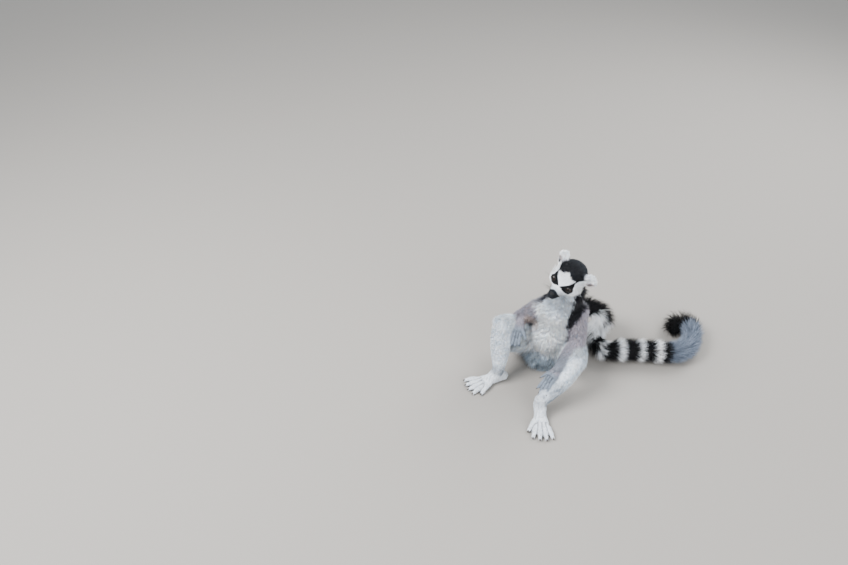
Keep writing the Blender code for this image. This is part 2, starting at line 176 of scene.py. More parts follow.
def foot_digits(side):
    """The foot's directions (along, outer, down), and (root, middle, tip) of each toe."""
    ankle, toes = np.array(ANKLE[side]), np.array(TOES[side])
    along = unit(np.array([toes[0] - ankle[0], toes[1] - ankle[1], 0]))
    outer = np.array([-along[1], along[0], 0]) * side
    down = np.array([0, 0, -1.0])
    heel = np.array([ankle[0], ankle[1], HEEL_HEIGHT]) - along * 0.010
    front = heel + along * FOOT_LENGTH * 0.62
    digits = []
    for spread, share in ((-1.5, 0.84), (-0.5, 1.0), (0.5, 1.02), (1.5, 0.90)):
        base = outer * spread * TOE_ROOT_GAP + down * 0.0026
        tip = along * FOOT_LENGTH * 0.30 * share + outer * spread * TOE_TIP_GAP + down * 0.0040
        digits.append((base, (base + tip) / 2 - down * 0.0022, tip))
    base = -along * FOOT_LENGTH * 0.22 - outer * 0.0080 + down * 0.0022
    tip = along * FOOT_LENGTH * 0.08 - outer * 0.0215 + down * 0.0042
    digits.append((base, (base + tip) / 2 - down * 0.0020, tip))
    return (along, outer, down), [tuple(front + p for p in digit) for digit in digits]


# The solids are copied, made to overlap and fused, with a slim rod for the tail's flesh.
SKIN_VOXEL = 0.00125
GROWTH = 0.0004          # makes neighbouring solids overlap, so that they fuse
FLESH = sorted(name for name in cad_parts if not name.startswith(("eye", "tail")))
TAILS = sorted(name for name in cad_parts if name.startswith("tail"))


def deselect():
    """Leaves nothing selected, because operators act on all that is."""
    bpy.ops.object.select_all(action="DESELECT")


def activate(*things):
    """Selects only these things, with the first of them active."""
    deselect()
    for thing in things:
        thing.select_set(True)
    bpy.context.view_layer.objects.active = things[0]


def joined(things):
    """Joins things into one."""
    activate(*things)
    bpy.ops.object.join()
    return bpy.context.view_layer.objects.active


def put_in_scene(name, data):
    """An object with this name and mesh, curve, lamp or lens, linked to the scene."""
    thing = bpy.data.objects.new(name, data)
    bpy.context.scene.collection.objects.link(thing)
    return thing


def apply_modifiers(thing):
    """Applies all of a thing's modifiers, from the first to the last."""
    activate(thing)
    for modifier in list(thing.modifiers):
        bpy.ops.object.modifier_apply(modifier=modifier.name)


def grown_copy(node):
    """A copy of a solid with its loose triangles merged, grown so that it overlaps its neighbours."""
    mesh = node.data.copy()
    mesh.materials.clear()
    shape = bmesh.new()
    shape.from_mesh(mesh)
    bmesh.ops.remove_doubles(shape, verts=shape.verts, dist=1e-6)
    shape.normal_update()
    for vert, move in [(v, v.normal * GROWTH) for v in shape.verts]:
        vert.co += move
    shape.to_mesh(mesh)
    shape.free()
    return put_in_scene("flesh", mesh)


def tail_core_radius(way):
    """Radius of the tail's flesh: thick at the root, a slim rod for most of its length."""
    share = way / TAIL_LENGTH
    return 0.0105 - 0.0040 * eased(share, 0.0, 0.35) - 0.0032 * eased(share, 0.75, 1.0)


deselect()
pieces = [grown_copy(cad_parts[name]) for name in FLESH + ["eye_left", "eye_right"]]
core = bpy.data.curves.new("tail_core", "CURVE")
core.dimensions = "3D"
core.bevel_depth = 1.0
core.bevel_resolution = 4
core.use_fill_caps = True
spline = core.splines.new("POLY")
spline.points.add(len(TAIL_LINE) - 1)
for point, place, radius in zip(spline.points, TAIL_LINE, tail_core_radius(WAY_OF_TAIL)):
    point.co = (*place, 1)
    point.radius = radius
core_thing = put_in_scene("tail_core", core)
activate(core_thing)
bpy.ops.object.convert(target="MESH")
pieces.append(core_thing)
skin = joined(pieces)
skin.name = skin.data.name = "skin"
remesh = skin.modifiers.new("Fuse", "REMESH")
remesh.mode = "VOXEL"
remesh.voxel_size = SKIN_VOXEL
soften = skin.modifiers.new("Soften", "SMOOTH")
soften.factor = 0.5
soften.iterations = 5
apply_modifiers(skin)


def vertex_rows(mesh, what="co"):
    """A row for each vertex of a mesh: its place, or its normal."""
    rows = np.zeros(len(mesh.vertices) * 3)
    if what == "co":
        mesh.vertices.foreach_get("co", rows)
    else:
        mesh.vertex_normals.foreach_get("vector", rows)
    return rows.reshape(-1, 3)


def set_rows(mesh, rows):
    """Moves each vertex of a mesh to its row's place."""
    mesh.vertices.foreach_set("co", np.asarray(rows, np.float32).ravel())
    mesh.update()


def edge_pairs(mesh):
    """The numbers of the two vertices of each edge."""
    pairs = np.zeros(len(mesh.edges) * 2, np.int64)
    mesh.edges.foreach_get("vertices", pairs)
    return pairs.reshape(-1, 2)


def spread(values, pairs, rounds, share=0.5):
    """Evens out a value over the skin: each vertex's moves part-way to the mean of its neighbours'."""
    values = np.array(values, float)
    flat = values.reshape(len(values), -1)
    one, two = pairs[:, 0], pairs[:, 1]
    count = np.maximum(np.bincount(pairs.ravel(), minlength=len(flat)), 1)
    for _ in range(rounds):
        for k in range(flat.shape[1]):
            total = np.bincount(one, flat[two, k], len(flat)) + np.bincount(two, flat[one, k], len(flat))
            flat[:, k] += share * (total / count - flat[:, k])
    return flat.reshape(values.shape)


# Under the long coat the skin needs few faces. The head, hands and feet keep theirs.
HEAD_MIDDLE, HEAD_REACH, HAND_REACH = (0, -0.004, 0.006), 0.043, 0.034
places = vertex_rows(skin.data)
kept = np.linalg.norm(in_head(places) - HEAD_MIDDLE, axis=1) < HEAD_REACH
for side in SIDE:
    for _, digits in (hand_digits(side), foot_digits(side)):
        middle = np.mean([tip for _, _, tip in digits[:4]] + [digits[4][0]], axis=0)
        kept |= np.linalg.norm(places - middle, axis=1) < HAND_REACH
group = skin.vertex_groups.new(name="thin")
group.add(np.flatnonzero(~kept).tolist(), 1.0, "REPLACE")
thin = skin.modifiers.new("Thin", "DECIMATE")
thin.ratio = 0.40
thin.vertex_group = "thin"
thin.vertex_group_factor = 1.0
apply_modifiers(skin)
skin.vertex_groups.clear()

# Which part of the body each spot of the skin belongs to, from the nearest solid.
PARTS = ["head", "ear", "neck", "trunk", "upper_arm", "forearm", "hand", "thigh", "shin", "foot", "tail"]
corners, triangles, part_of = [], [], []
for number, name in enumerate(FLESH + TAILS):
    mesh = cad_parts[name].data
    part = next(k for k, p in enumerate(PARTS) if name.startswith(p))
    triangles += [tuple(len(corners) + v for v in poly.vertices) for poly in mesh.polygons]
    part_of += [part] * len(mesh.polygons)
    corners += [v.co.copy() for v in mesh.vertices]
nearest = BVHTree.FromPolygons(corners, triangles)
FLESH_OF_TAIL, TAIL_ROOT = 0.0125, 0.012      # how far the tail's flesh reaches, and where it begins


def shares_of_parts(places, rounds):
    """For each place a share of each part of the body, which fade into each other over the skin."""
    part = np.array([part_of[nearest.find_nearest(Vector(p))[2]] for p in places])
    way, far, _ = along_line(places, TAIL_LINE)
    part[(far < FLESH_OF_TAIL) & (way > TAIL_ROOT)] = PARTS.index("tail")
    return spread(np.eye(len(PARTS))[part], pairs, rounds)


def share_of(membership, *parts):
    """How much these parts of the body have, together, in each place."""
    return membership[:, [PARTS.index(part) for part in parts]].sum(axis=1)


def skin_normals(rounds):
    """The skin's normals, evened out so that small folds don't turn them."""
    return unit(spread(vertex_rows(skin.data, "normal"), pairs, rounds))


def down_limb(points, start, end):
    """The share of the way from one joint to the next, and the distance from the line between them."""
    line = np.array([start, end])
    way, far, _ = along_line(points, line)
    return way / np.linalg.norm(line[1] - line[0]), far


places = vertex_rows(skin.data)
pairs = edge_pairs(skin.data)
membership = shares_of_parts(places, 12)

# How deep the coat is: on each part, in the order of PARTS, and on the face.
DEPTH_MM = [2.2, 1.5, 5.6, 5.0, 3.4, 2.3, 0.5, 4.2, 2.4, 0.6, 0.0]
FACE_DEPTH = 0.0010
normals = skin_normals(4)
depth = membership @ np.array(DEPTH_MM) / 1000
face = share_of(membership, "head") * (1 - eased(in_head(places)[:, 1], -0.016, 0.008))
depth = depth * (1 - face) + face * FACE_DEPTH
for side in SIDE:
    for start, end, least in ((ELBOW, WRIST, 0.35), (KNEE, ANKLE, 0.45)):      # thin at hands and feet
        share, far = down_limb(places, start[side], end[side])
        depth *= 1 - (1 - least) * eased(share, 0.3, 1.0) * (far < 0.024)
depth = spread(depth, pairs, 6)
places = places - normals * depth[:, None]
evened = 1 - share_of(membership, "head", "ear", "hand", "foot")        # which keep their detail
places += (spread(places, pairs, 10) - places) * evened[:, None]
set_rows(skin.data, places)

# The face gets finer triangles before its folds are made.
FACE_MIDDLE, FACE_REACH = (0, -0.020, 0.001), 0.027
activate(skin)
shape = bmesh.new()
shape.from_mesh(skin.data)
shape.verts.ensure_lookup_table()
local = in_head(places)
front = (np.linalg.norm(local - FACE_MIDDLE, axis=1) < FACE_REACH) & (local[:, 1] < -0.003)
edges = [e for e in shape.edges if front[e.verts[0].index] and front[e.verts[1].index]]
bmesh.ops.subdivide_edges(shape, edges=edges, cuts=1, use_grid_fill=True)
bmesh.ops.triangulate(shape, faces=[f for f in shape.faces if len(f.verts) > 4])
shape.to_mesh(skin.data)
shape.free()
places = vertex_rows(skin.data)
pairs = edge_pairs(skin.data)
local = in_head(places)

# Eyelids: the skin lies close on each eyeball but for a wide round opening, and is tucked in there.
GAZE_OUT, GAZE_UP = math.radians(20), math.radians(6)
LID_WIDE, LID_HIGH = math.sin(math.radians(43)), math.sin(math.radians(38))
LID_THICK = 0.0009
TUCK = 0.0012            # how deep the skin goes behind the eyeball's front


def gaze(side):
    """An eye's centre and its directions forward, outward and up, in the head's frame."""
    ahead = np.array([math.sin(GAZE_OUT) * side, -math.cos(GAZE_OUT) * math.cos(GAZE_UP), math.sin(GAZE_UP)])
    ahead = unit(ahead)
    out = unit(np.cross(ahead, (0, 0, 1)) * -side)
    up = np.cross(ahead, out) * side
    return np.array([EYE[0] * side, EYE[1], EYE[2]]), ahead, out, up * (1 if up[2] > 0 else -1)


def lid_measure(points, side):
    """How far out each point is from the middle of the eye's opening, 1 on its rim, and from the eye."""
    centre, ahead, out, up = gaze(side)
    away = points - centre
    far = np.linalg.norm(away, axis=1)
    towards = away / far[:, None]
    rim = np.hypot(towards @ out / LID_WIDE, towards @ up / LID_HIGH)
    return np.where((towards @ ahead > 0) & (far < EYE_RADIUS * 2), rim, 9.0), far, away


for side in SIDE:
    rim, far, away = lid_measure(local, side)
    close = far < EYE_RADIUS * 1.9
    wanted = np.where(rim < 1.0, np.minimum(far, EYE_RADIUS - TUCK),
                      np.maximum(far, EYE_RADIUS + LID_THICK * eased(rim, 1.0, 1.12)))
    local[close] += (away * ((wanted - far) / far)[:, None])[close]
    folds = 0.0005 * np.exp(-((rim - 1.40) / 0.10) ** 2) - 0.0004 * np.exp(-((rim - 1.62) / 0.12) ** 2)
    local[close] -= (away * (folds / far)[:, None])[close]

# The ears end bluntly, under the fringe that rounds them out. Then each is turned its own way: the left
# one droops outwards and the right one stands up.
EAR_ROOT, EAR_TIP = np.array([0.0165, 0.0070, 0.0130]), np.array([0.0328, 0.0160, 0.0290])
EAR_TURN = {1: (0.0015, 0.0, -0.0036), -1: (0.0020, 0.0, 0.0027)}
for side in SIDE:
    root, tip = EAR_ROOT * (side, 1, 1), EAR_TIP * (side, 1, 1)
    reach, axis = np.linalg.norm(tip - root), unit(tip - root)
    out = (local - root) @ axis
    beyond = np.maximum(0, out - 0.75 * reach) * (np.linalg.norm(local - tip, axis=1) < 0.020)
    local -= 0.5 * beyond[:, None] * axis
    out = (local - root) @ axis
    aside = np.linalg.norm(local - root - out[:, None] * axis, axis=1)
    turned = eased(out / reach, 0.10, 0.75) * (1 - eased(aside, 0.011, 0.016))
    local += turned[:, None] * np.array(EAR_TURN[side])

# The lower jaw hangs a little below the solid's, and the mouth is a narrow groove
# from under the nose back along each side of the muzzle.
JAW_DROP = np.array([0, 0.0006, 0.0026])
MOUTH_WIDE, MOUTH_DEEP = 0.0016, 0.0012
local -= JAW_DROP * (eased(-local[:, 2], 0.0075, 0.0115) * eased(-local[:, 1], 0.012, 0.020))[:, None]
MOUTH = [(0.0000, -0.0360, -0.0098), (0.0040, -0.0343, -0.0112), (0.0070, -0.0300, -0.0118),
         (0.0090, -0.0252, -0.0114), (0.0112, -0.0206, -0.0104), (0.0128, -0.0168, -0.0088)]
MOUTH_LINE = smooth_line(MOUTH, 8)
mouth_far = along_line(as_left(local), MOUTH_LINE)[1]
head_normals = skin_normals(3) @ TO_HEAD[:3, :3].T
groove = np.clip(1 - (mouth_far / MOUTH_WIDE) ** 2, 0, 1) ** 2
local -= head_normals * (MOUTH_DEEP * groove)[:, None]
is_head = np.linalg.norm(local, axis=1) < 0.06
places[is_head] = from_head(local)[is_head]


def digit_gap(points):
    """1 midway between two fingers or two toes, and 0 on each. Also how near the closest one is."""
    gap, near = np.zeros(len(points)), np.full(len(points), 1.0)
    for digits_of, wide in ((hand_digits, 0.0016), (foot_digits, 0.0022)):
        for side in SIDE:
            (along, _, _), digits = digits_of(side)
            far = np.sort([along_line(points, np.array(digit))[1] for digit in digits], axis=0)
            behind = (np.mean([digit[0] for digit in digits[:4]], axis=0) - points) @ along
            here = np.clip(1 - (far[1] - far[0]) / wide, 0, 1) * (far[0] < 0.009)
            gap = np.maximum(gap, here * (1 - eased(behind, 0.004, 0.016)))
            if digits_of is hand_digits:
                near = np.minimum(near, far[0])
    return gap, near


# Furrows part the fingers and toes.
FURROW = 0.0013
places -= skin_normals(2) * (FURROW * digit_gap(places)[0])[:, None]
set_rows(skin.data, places)
skin.data.polygons.foreach_set("use_smooth", np.ones(len(skin.data.polygons), bool))

# The coat's facts are worked out at the finished skin's vertices, for the locks to read at their roots.
places = vertex_rows(skin.data)
membership = shares_of_parts(places, 10)
membership /= membership.sum(axis=1, keepdims=True)

NOSE_TIP = np.array([0, -0.0383, -0.0062])
EAR_SLIT = np.array([(0.0272, 0.0074, 0.0156), (0.0320, 0.0108, 0.0175)])


def ear_opening(local):
    """How far each place is from the middle of an ear's opening, which sits lower on the right ear."""
    turned = local - np.where(local[:, :1] > 0, EAR_TURN[1], np.add(EAR_TURN[-1], (0, 0, -0.0032)))
    return along_line(as_left(turned), EAR_SLIT)[1]


def cheek_ruff(local):
    """1 on the back of each cheek, where longer hair stands out as a ruff, and 0 elsewhere."""
    x, y, z = np.abs(local[:, 0]), local[:, 1], local[:, 2]
    return (eased(x, 0.012, 0.018) * eased(y, -0.006, 0.004) * eased(0.026 - y, 0, 0.008)
            * eased(0.012 - z, 0, 0.008) * eased(z, -0.022, -0.014))


def hanging(points, normals):
    """Up to 1 under the haunches and in the groin, where long fur hangs to the ground, and 0 elsewhere."""
    total = np.zeros(len(points))
    for side in SIDE:
        hip, knee = np.array(HIP[side]), np.array(KNEE[side])
        far = along_line(points, np.array([hip, hip + 0.62 * (knee - hip)]))[1]
        amount = 0.25 if side > 0 else 1.0
        total = np.maximum(total, amount * eased(0.036 - far, 0, 0.010)
                           * eased(-normals[:, 2] - 0.3 * normals[:, 1], 0.0, 0.5))
    groin = np.linalg.norm(points - (-0.030, -0.034, 0.030), axis=1)
    return np.maximum(total, eased(0.030 - groin, 0, 0.010) * eased(-normals[:, 0] - normals[:, 2], 0.1, 0.6))


def laid_flat(ways, normals):
    """These directions, laid flat on the skin."""
    return unit(ways - normals * np.sum(ways * normals, axis=1, keepdims=True))


def lie_of_coat(points, normals, membership):
    """The way the hair points at each spot: back from the nose, down the trunk, and out along each limb."""
    local = in_head(points)
    ways = {}
    back = unit(local - NOSE_TIP)
    back[:, 2] -= 0.25 * eased(local[:, 1], 0.0, 0.03)
    sign = np.where(local[:, 0] > 0, 1.0, -1.0)[:, None] * (1, 0, 0) + (0, 1, 1)
    back += 1.3 * cheek_ruff(local)[:, None] * sign * (0.9, 0, -0.45)
    ways["head"] = back @ HEAD_MATRIX[:3, :3].T
    root, tip = EAR_ROOT * sign, EAR_TIP * sign
    axis = unit(tip - root)
    out = local - root - axis * np.sum((local - root) * axis, axis=1, keepdims=True)
    ways["ear"] = unit(axis + 55 * out) @ HEAD_MATRIX[:3, :3].T
    ways["neck"] = ways["trunk"] = -along_line(points, SPINE_LINE)[2]
    for part, start, end in (("upper_arm", SHOULDER, ELBOW), ("forearm", ELBOW, WRIST),
                             ("thigh", HIP, KNEE), ("shin", KNEE, ANKLE)):
        far = {side: along_line(points, np.array([start[side], end[side]]))[1] for side in SIDE}
        heading = {side: unit(np.subtract(end[side], start[side])) for side in SIDE}
        ways[part] = np.where((far[1] < far[-1])[:, None], heading[1], heading[-1])
    for part, digits_of in (("hand", hand_digits), ("foot", foot_digits)):
        ways[part] = np.zeros((len(points), 3))
        best = np.full(len(points), np.inf)
        for side in SIDE:
            for digit in digits_of(side)[1]:
                _, far, heading = along_line(points, np.array(digit))
                nearer = far < best
                best[nearer] = far[nearer]
                ways[part][nearer] = heading[nearer]
    way, _, down_tail = along_line(points, TAIL_LINE)
    down_tail += 1.2 * eased(way, 0.385, 0.410)[:, None] * (0.50, -0.86, 0.0)    # the tip's hair bends aside
    ways["tail"] = down_tail / np.linalg.norm(down_tail, axis=1, keepdims=True)
    lie = np.einsum("kni,nk->ni", np.stack([ways[part] for part in PARTS]), membership)
    lie += 1.5 * hanging(points, normals)[:, None] * (-0.30, -0.30, -0.85)
    return laid_flat(lie, normals)


# The markings, which skin and coat share. On the face they are outlines in centimetres from the middle
# between the eyes: across, and up the slope from the muzzle to the crown.
def linear(hex_colour):
    """The linear colour of an sRGB hex value."""
    rgb = np.array([int(hex_colour[i:i + 2], 16) / 255 for i in (1, 3, 5)])
    return np.where(rgb <= 0.04045, rgb / 12.92, ((rgb + 0.055) / 1.055) ** 2.4)


WHITE, PALE, BELLY, MOTTLE = (linear(c) for c in ("#f1f4fc", "#eff4fc", "#b0c0cf", "#7f8995"))
CAP, CROWN, BLACK, NAPE = (linear(c) for c in ("#15171c", "#272c33", "#0d0e11", "#19191f"))
BACK, FLANK, ARM, FOREARM = (linear(c) for c in ("#7b6f69", "#9c9ca3", "#aea8b3", "#a7a2ad"))
THIGH, SHIN, FOOT, HAND = (linear(c) for c in ("#cad2d9", "#e2e9f2", "#e6ebf2", "#7f8997"))
BROWN, ANKLE_GREY, SOLE_AND_CREASE_SHADE, INNER_EAR_TINT_AND_SHADE = (linear(c) for c in ("#ad9a90", "#707882", "#1c1b1d", "#b9b0b0"))
RING_WHITE, RING_BLUE, ROOT_GREY = (linear(c) for c in ("#f3f7fd", "#6a7484", "#8a8684"))
SNOUT, CHIN, LIPS, CHEEK_SHADE = (linear(c) for c in ("#14171c", "#dfe3e8", "#1b1e24", "#bcc3cb"))
EYE_PATCH = [(0.04, -0.74), (0.44, -0.26), (0.98, 0.26), (1.34, 0.82), (1.50, 1.30), (1.44, 1.80),
             (1.74, 1.80), (1.64, 1.40), (1.64, 1.06), (1.78, 0.62), (1.92, 0.20), (1.96, -0.22),
             (1.84, -0.60), (1.62, -0.88), (1.30, -0.98), (0.98, -0.98), (0.62, -0.90)]
BLACK_RINGS = ((0.010, 0.026), (0.040, 0.078), (0.155, 0.174), (0.1825, 0.2065), (0.2165, 0.2435),
               (0.2520, 0.2730), (0.2835, 0.2990), (0.398, 0.500))       # metres along the tail


def depth_inside(x, y, outline):
    """How far inside a closed outline each point lies, or, as a negative number, how far outside."""
    inside = np.zeros(len(x), bool)
    far = np.full(len(x), np.inf)
    for (x0, y0), (x1, y1) in zip(outline, [*outline[1:], outline[0]]):
        dx, dy = x1 - x0, y1 - y0
        t = np.clip(((x - x0) * dx + (y - y0) * dy) / (dx ** 2 + dy ** 2), 0, 1)
        far = np.minimum(far, np.hypot(x - x0 - t * dx, y - y0 - t * dy))
        if y0 != y1:
            inside ^= ((y0 > y) != (y1 > y)) & (x < dx * (y - y0) / dy + x0)
    return np.where(inside, far, -far)


def mix(one, other, amount):
    """One colour turned into another by an amount for each point."""
    return one + (other - one) * np.asarray(amount)[:, None]


def drift(points, wavelength, seed):
    """A smooth random vector field, about one unit strong, that varies over this wavelength."""
    wave = np.random.default_rng(seed)
    total = np.zeros((len(points), 3))
    for _ in range(10):
        way = unit(wave.normal(size=3)) * 2 * math.pi / (wavelength * wave.uniform(0.6, 1.6))
        total += np.sin(points @ way + wave.uniform(0, 6.3))[:, None] * unit(wave.normal(size=3))
    return total / 2.2


def head_colours(local):
    """The head is white, with a black cap, black eye patches and a black snout."""
    x, y, z = np.abs(local[:, 0]), local[:, 1], local[:, 2]
    across = x * 100
    up = (0.66 * (y - EYE[1]) + 0.75 * (z - EYE[2])) * 100
    colour = np.tile(WHITE, (len(local), 1))

    def paint(tone, amount):
        colour[:] = mix(colour, tone, amount)

    paint(PALE * 0.9, eased(y, 0.006, 0.026))
    paint(CHEEK_SHADE, 0.8 * eased(-up, 0.9, 1.4) * eased(z, -0.010, -0.004))
    # The forehead's white rises to a peak in the cap's front edge. At the sides the cap ends above the
    # ears, and behind them it reaches down to the nape.
    front_edge = 1.16 + 0.52 * np.exp(-(across / 0.46) ** 2) + 0.26 * eased(across, 1.3, 2.0)
    front_edge = front_edge + 0.04 * np.sin(local[:, 0] * 1400)
    side_edge = np.interp(y, (-0.02, -0.004, 0.006, 0.014, 0.022, 0.030, 0.038),
                          (0.0165, 0.0182, 0.0176, 0.0120, 0.0040, -0.0040, -0.0140))
    cap = mix(CAP, CROWN, eased(y, -0.002, 0.022))
    paint(cap, eased(np.minimum((up - front_edge) / 100, z - side_edge), -0.0004, 0.0005))
    paint(BACK * 0.55, eased(y, 0.020, 0.029) * eased(0.016 - z, 0, 0.010))
    patch = depth_inside(across, up, EYE_PATCH)
    for side in SIDE:
        rim, far, _ = lid_measure(local, side)
        patch = np.maximum(patch, np.where(far < EYE_RADIUS * 1.25, (1.30 - rim) * 0.35, -1))
    paint(BLACK, eased(patch, -0.03, 0.05) * eased(0.014 - y, 0, 0.006))
    snout = -y - 0.0306 - 0.15 * np.maximum(0, x - 0.0045) + 1.0 * np.maximum(0, -z - 0.004)
    paint(SNOUT, eased(snout, -0.0005, 0.0005))
    paint(CHIN, eased(-z, 0.0125, 0.0150) * eased(y, -0.0300, -0.0270))
    mouth_way, mouth_far, _ = along_line(as_left(local), MOUTH_LINE)
    lips = np.clip(1 - (mouth_far / (0.0034 - 0.0018 * eased(mouth_way, 0.004, 0.012))) ** 2, 0, 1)
    paint(LIPS, np.minimum(1, 2.2 * lips) * eased(0.0145 - x, 0, 0.004))
    return colour


# Three black rings are wider or narrower on one side of the tail: round its arch, and round the bend
# where it comes down to the floor. A row has the ring, that side, and how far its two ends shift there.
ARCH_OUTSIDE = unit(np.array([0.95, 0.10, 0.30]))
ARCH_TOP = unit(np.array([-0.40, 0.45, 0.80]))
ARCH_FRONT = unit(np.array([0.30, -0.70, 0.50]))
BEND_INSIDE = unit(np.array([-0.60, -0.75, -0.30]))
LOPSIDED = ((1, ARCH_OUTSIDE, 0.0, 0.054), (1, ARCH_TOP, 0.0, 0.022), (1, ARCH_FRONT, 0.0, -0.011),
            (2, BEND_INSIDE, 0.012, 0.008), (3, BEND_INSIDE, 0.006, 0.0))


def side_of_tail(points, direction):
    """0 to 1: how far round towards a direction a point of the tail lies from the tail's middle line."""
    way = along_line(points, TAIL_LINE)[0]
    return eased(unit(points - at_way(way, WAY_OF_TAIL, TAIL_LINE)) @ direction, -0.20, 0.50)


def tail_colours(points, along):
    """White hair with black rings, blue-grey near the curled black tip and grey at the root."""
    way = along_line(points, TAIL_LINE)[0] + along
    colour = mix(RING_WHITE, RING_BLUE, eased(way, 0.288, 0.298))
    colour = mix(colour, ROOT_GREY, eased(0.030 - way, 0, 0.010))
    for number, (start, end) in enumerate(BLACK_RINGS):
        for which, direction, start_shift, end_shift in LOPSIDED:
            if which == number:
                here = side_of_tail(points, direction)
                start, end = start + start_shift * here, end + end_shift * here
        colour = mix(colour, BLACK, eased(np.minimum(way - start, end - way), -0.0012, 0.0012))
    return colour


def neck_and_trunk_colours(points, mottle):
    """A pale throat and belly, grey flanks, a brown-grey back and a black collar that is open in front."""
    way = along_line(points, SPINE_LINE)[0]
    middle = at_way(way, WAY_OF_SPINE, SPINE_LINE)
    angle = np.degrees(np.arctan2(points[:, 0] - middle[:, 0], middle[:, 1] - points[:, 1]))
    height = points[:, 2]
    collar = np.maximum(eased(angle, 45, 51), eased(-angle, 56, 66))
    throat = mix(0.55 * PALE + 0.45 * BELLY, MOTTLE, 0.35 * eased(mottle, -0.1, 0.8))
    neck = mix(mix(throat, NAPE, collar), BACK * 0.55, eased(np.abs(angle), 98, 122))
    chest = mix(PALE, BELLY, eased(0.060 - height, 0, 0.020))
    chest = mix(chest, BELLY, 0.6 * eased(height, 0.132, 0.160))
    chest = mix(chest, MOTTLE, eased(mottle, 0.0, 0.7) * eased(0.062 - height, 0, 0.018) * 0.8)
    side = mix(FLANK, BACK, eased(np.abs(angle), 95, 135))
    trunk = mix(chest, side, eased(np.abs(angle), 50, 66))
    # The collar's ends run down in front of each shoulder, the left one longer and blacker.
    band = eased(angle, 43, 50) * eased(122 - angle, 0, 30) * eased(height, 0.106, 0.120)
    trunk = mix(trunk, NAPE, band)
    band = eased(-angle, 54, 64) * eased(122 + angle, 0, 30) * eased(height, 0.136, 0.148)
    return neck, mix(trunk, NAPE * 1.6, band)


def markings(points, membership, along=0.0):
    """The coat's colour. Long tail hair shows its colour this far along from its root."""
    local = in_head(points)
    height = points[:, 2]
    mottle = drift(points, 0.016, 11)[:, 0]
    slit = ear_opening(local)
    tones = {}
    tones["head"] = head_colours(local)
    # Painted shade in the ear's opening: pinkish grey in its hollow and black in its slit.
    tones["ear"] = mix(WHITE, INNER_EAR_TINT_AND_SHADE, eased(0.0060 - slit, 0, 0.0030))
    tones["ear"] = mix(tones["ear"], BLACK, eased(0.0030 - slit, 0, 0.0010))
    tones["neck"], tones["trunk"] = neck_and_trunk_colours(points, mottle)
    # The right upper arm is a darker copy of its colour: painted shade on that side.
    tones["upper_arm"] = mix(ARM, ARM * 0.66, eased(-points[:, 0], 0.0, 0.02))
    tones["upper_arm"] = mix(tones["upper_arm"], MOTTLE, 0.4 * eased(mottle, 0.1, 0.9))
    inner_edge = np.interp(height, (0.118, 0.134, 0.148, 0.156), (0.0385, 0.0425, 0.0455, 0.0440))
    inner = eased(inner_edge - points[:, 0], -0.001, 0.002) * eased(height, 0.108, 0.118) * (points[:, 0] > 0)
    tones["upper_arm"] = mix(tones["upper_arm"], NAPE, inner)
    near = np.linalg.norm(points - WRIST[1], axis=1)
    tones["forearm"] = mix(FOREARM, MOTTLE * 0.8, 0.8 * eased(0.058 - near, 0, 0.045))
    # The right forearm is also a darker copy of its colour: painted shade on that side.
    tones["forearm"] = mix(tones["forearm"], FOREARM * 0.75, eased(-points[:, 0], 0.0, 0.02))
    # A brown patch lies between the right forearm and the belly.
    near = np.linalg.norm(points - (-0.028, -0.034, 0.104), axis=1)
    brown = 0.65 * eased(0.020 - near, 0, 0.010)
    for part in ("trunk", "upper_arm", "forearm"):
        tones[part] = mix(tones[part], BROWN, brown)
    tones["hand"] = mix(HAND, MOTTLE, 0.6 * eased(drift(points, 0.008, 12)[:, 0], 0.0, 0.8))
    for side in SIDE:
        past = (points - WRIST[side]) @ hand_digits(side)[0][0]
        near = np.linalg.norm(points - WRIST[side], axis=1) < 0.06
        tones["hand"] = mix(tones["hand"], FOREARM * 0.7, 0.9 * eased(0.016 - past, 0, 0.014) * near)
    tones["thigh"] = mix(THIGH, BACK, eased(points[:, 1], -0.010, 0.030))
    tones["thigh"] = mix(tones["thigh"], MOTTLE, 0.45 * eased(mottle, 0.1, 0.9))
    tones["shin"] = mix(SHIN, BELLY, 0.5 * eased(mottle, 0.1, 0.9))
    for side in SIDE:
        near = np.linalg.norm(points - ANKLE[side], axis=1)
        dark = 0.25 if side > 0 else 0.8
        tones["shin"] = mix(tones["shin"], ANKLE_GREY, dark * eased(0.022 - near, 0, 0.014))
    fingers = np.linalg.norm(points - np.add(WRIST[1], (-0.006, -0.024, -0.030)), axis=1)
    shaded = eased(0.036 - fingers, 0, 0.016) * (0.35 + 0.45 * eased(mottle, -0.2, 0.6))
    tones["shin"] = mix(tones["shin"], MOTTLE, shaded)      # where the left hand's fingers lie
    tones["foot"] = mix(FOOT, ANKLE_GREY, (0.2 + 0.4 * (points[:, 0] < 0)) * eased(height, 0.018, 0.026))
    # The soles are black, their own colour, and this black along the foot's rim by the floor is also painted
    # contact shadow.
    tones["foot"] = mix(tones["foot"], SOLE_AND_CREASE_SHADE, eased(0.0032 - height, 0, 0.0014))
    # Painted shade in the furrows between the fingers and between the toes.
    for part in ("hand", "foot"):
        tones[part] = mix(tones[part], SOLE_AND_CREASE_SHADE, 0.75 * digit_gap(points)[0])
    tones["tail"] = tail_colours(points, along)
    sharp = membership ** 2.5
    sharp /= sharp.sum(axis=1, keepdims=True)
    return np.einsum("kni,nk->ni", np.stack([tones[part] for part in PARTS]), sharp)


def keep_colours(mesh, colours):
    """Stores the coat's colour for each vertex."""
    layer = mesh.color_attributes.new("coat_colour", "FLOAT_COLOR", "POINT")
    rows = np.column_stack([colours, np.ones(len(colours))])
    layer.data.foreach_set("color", rows.astype(np.float32).ravel())


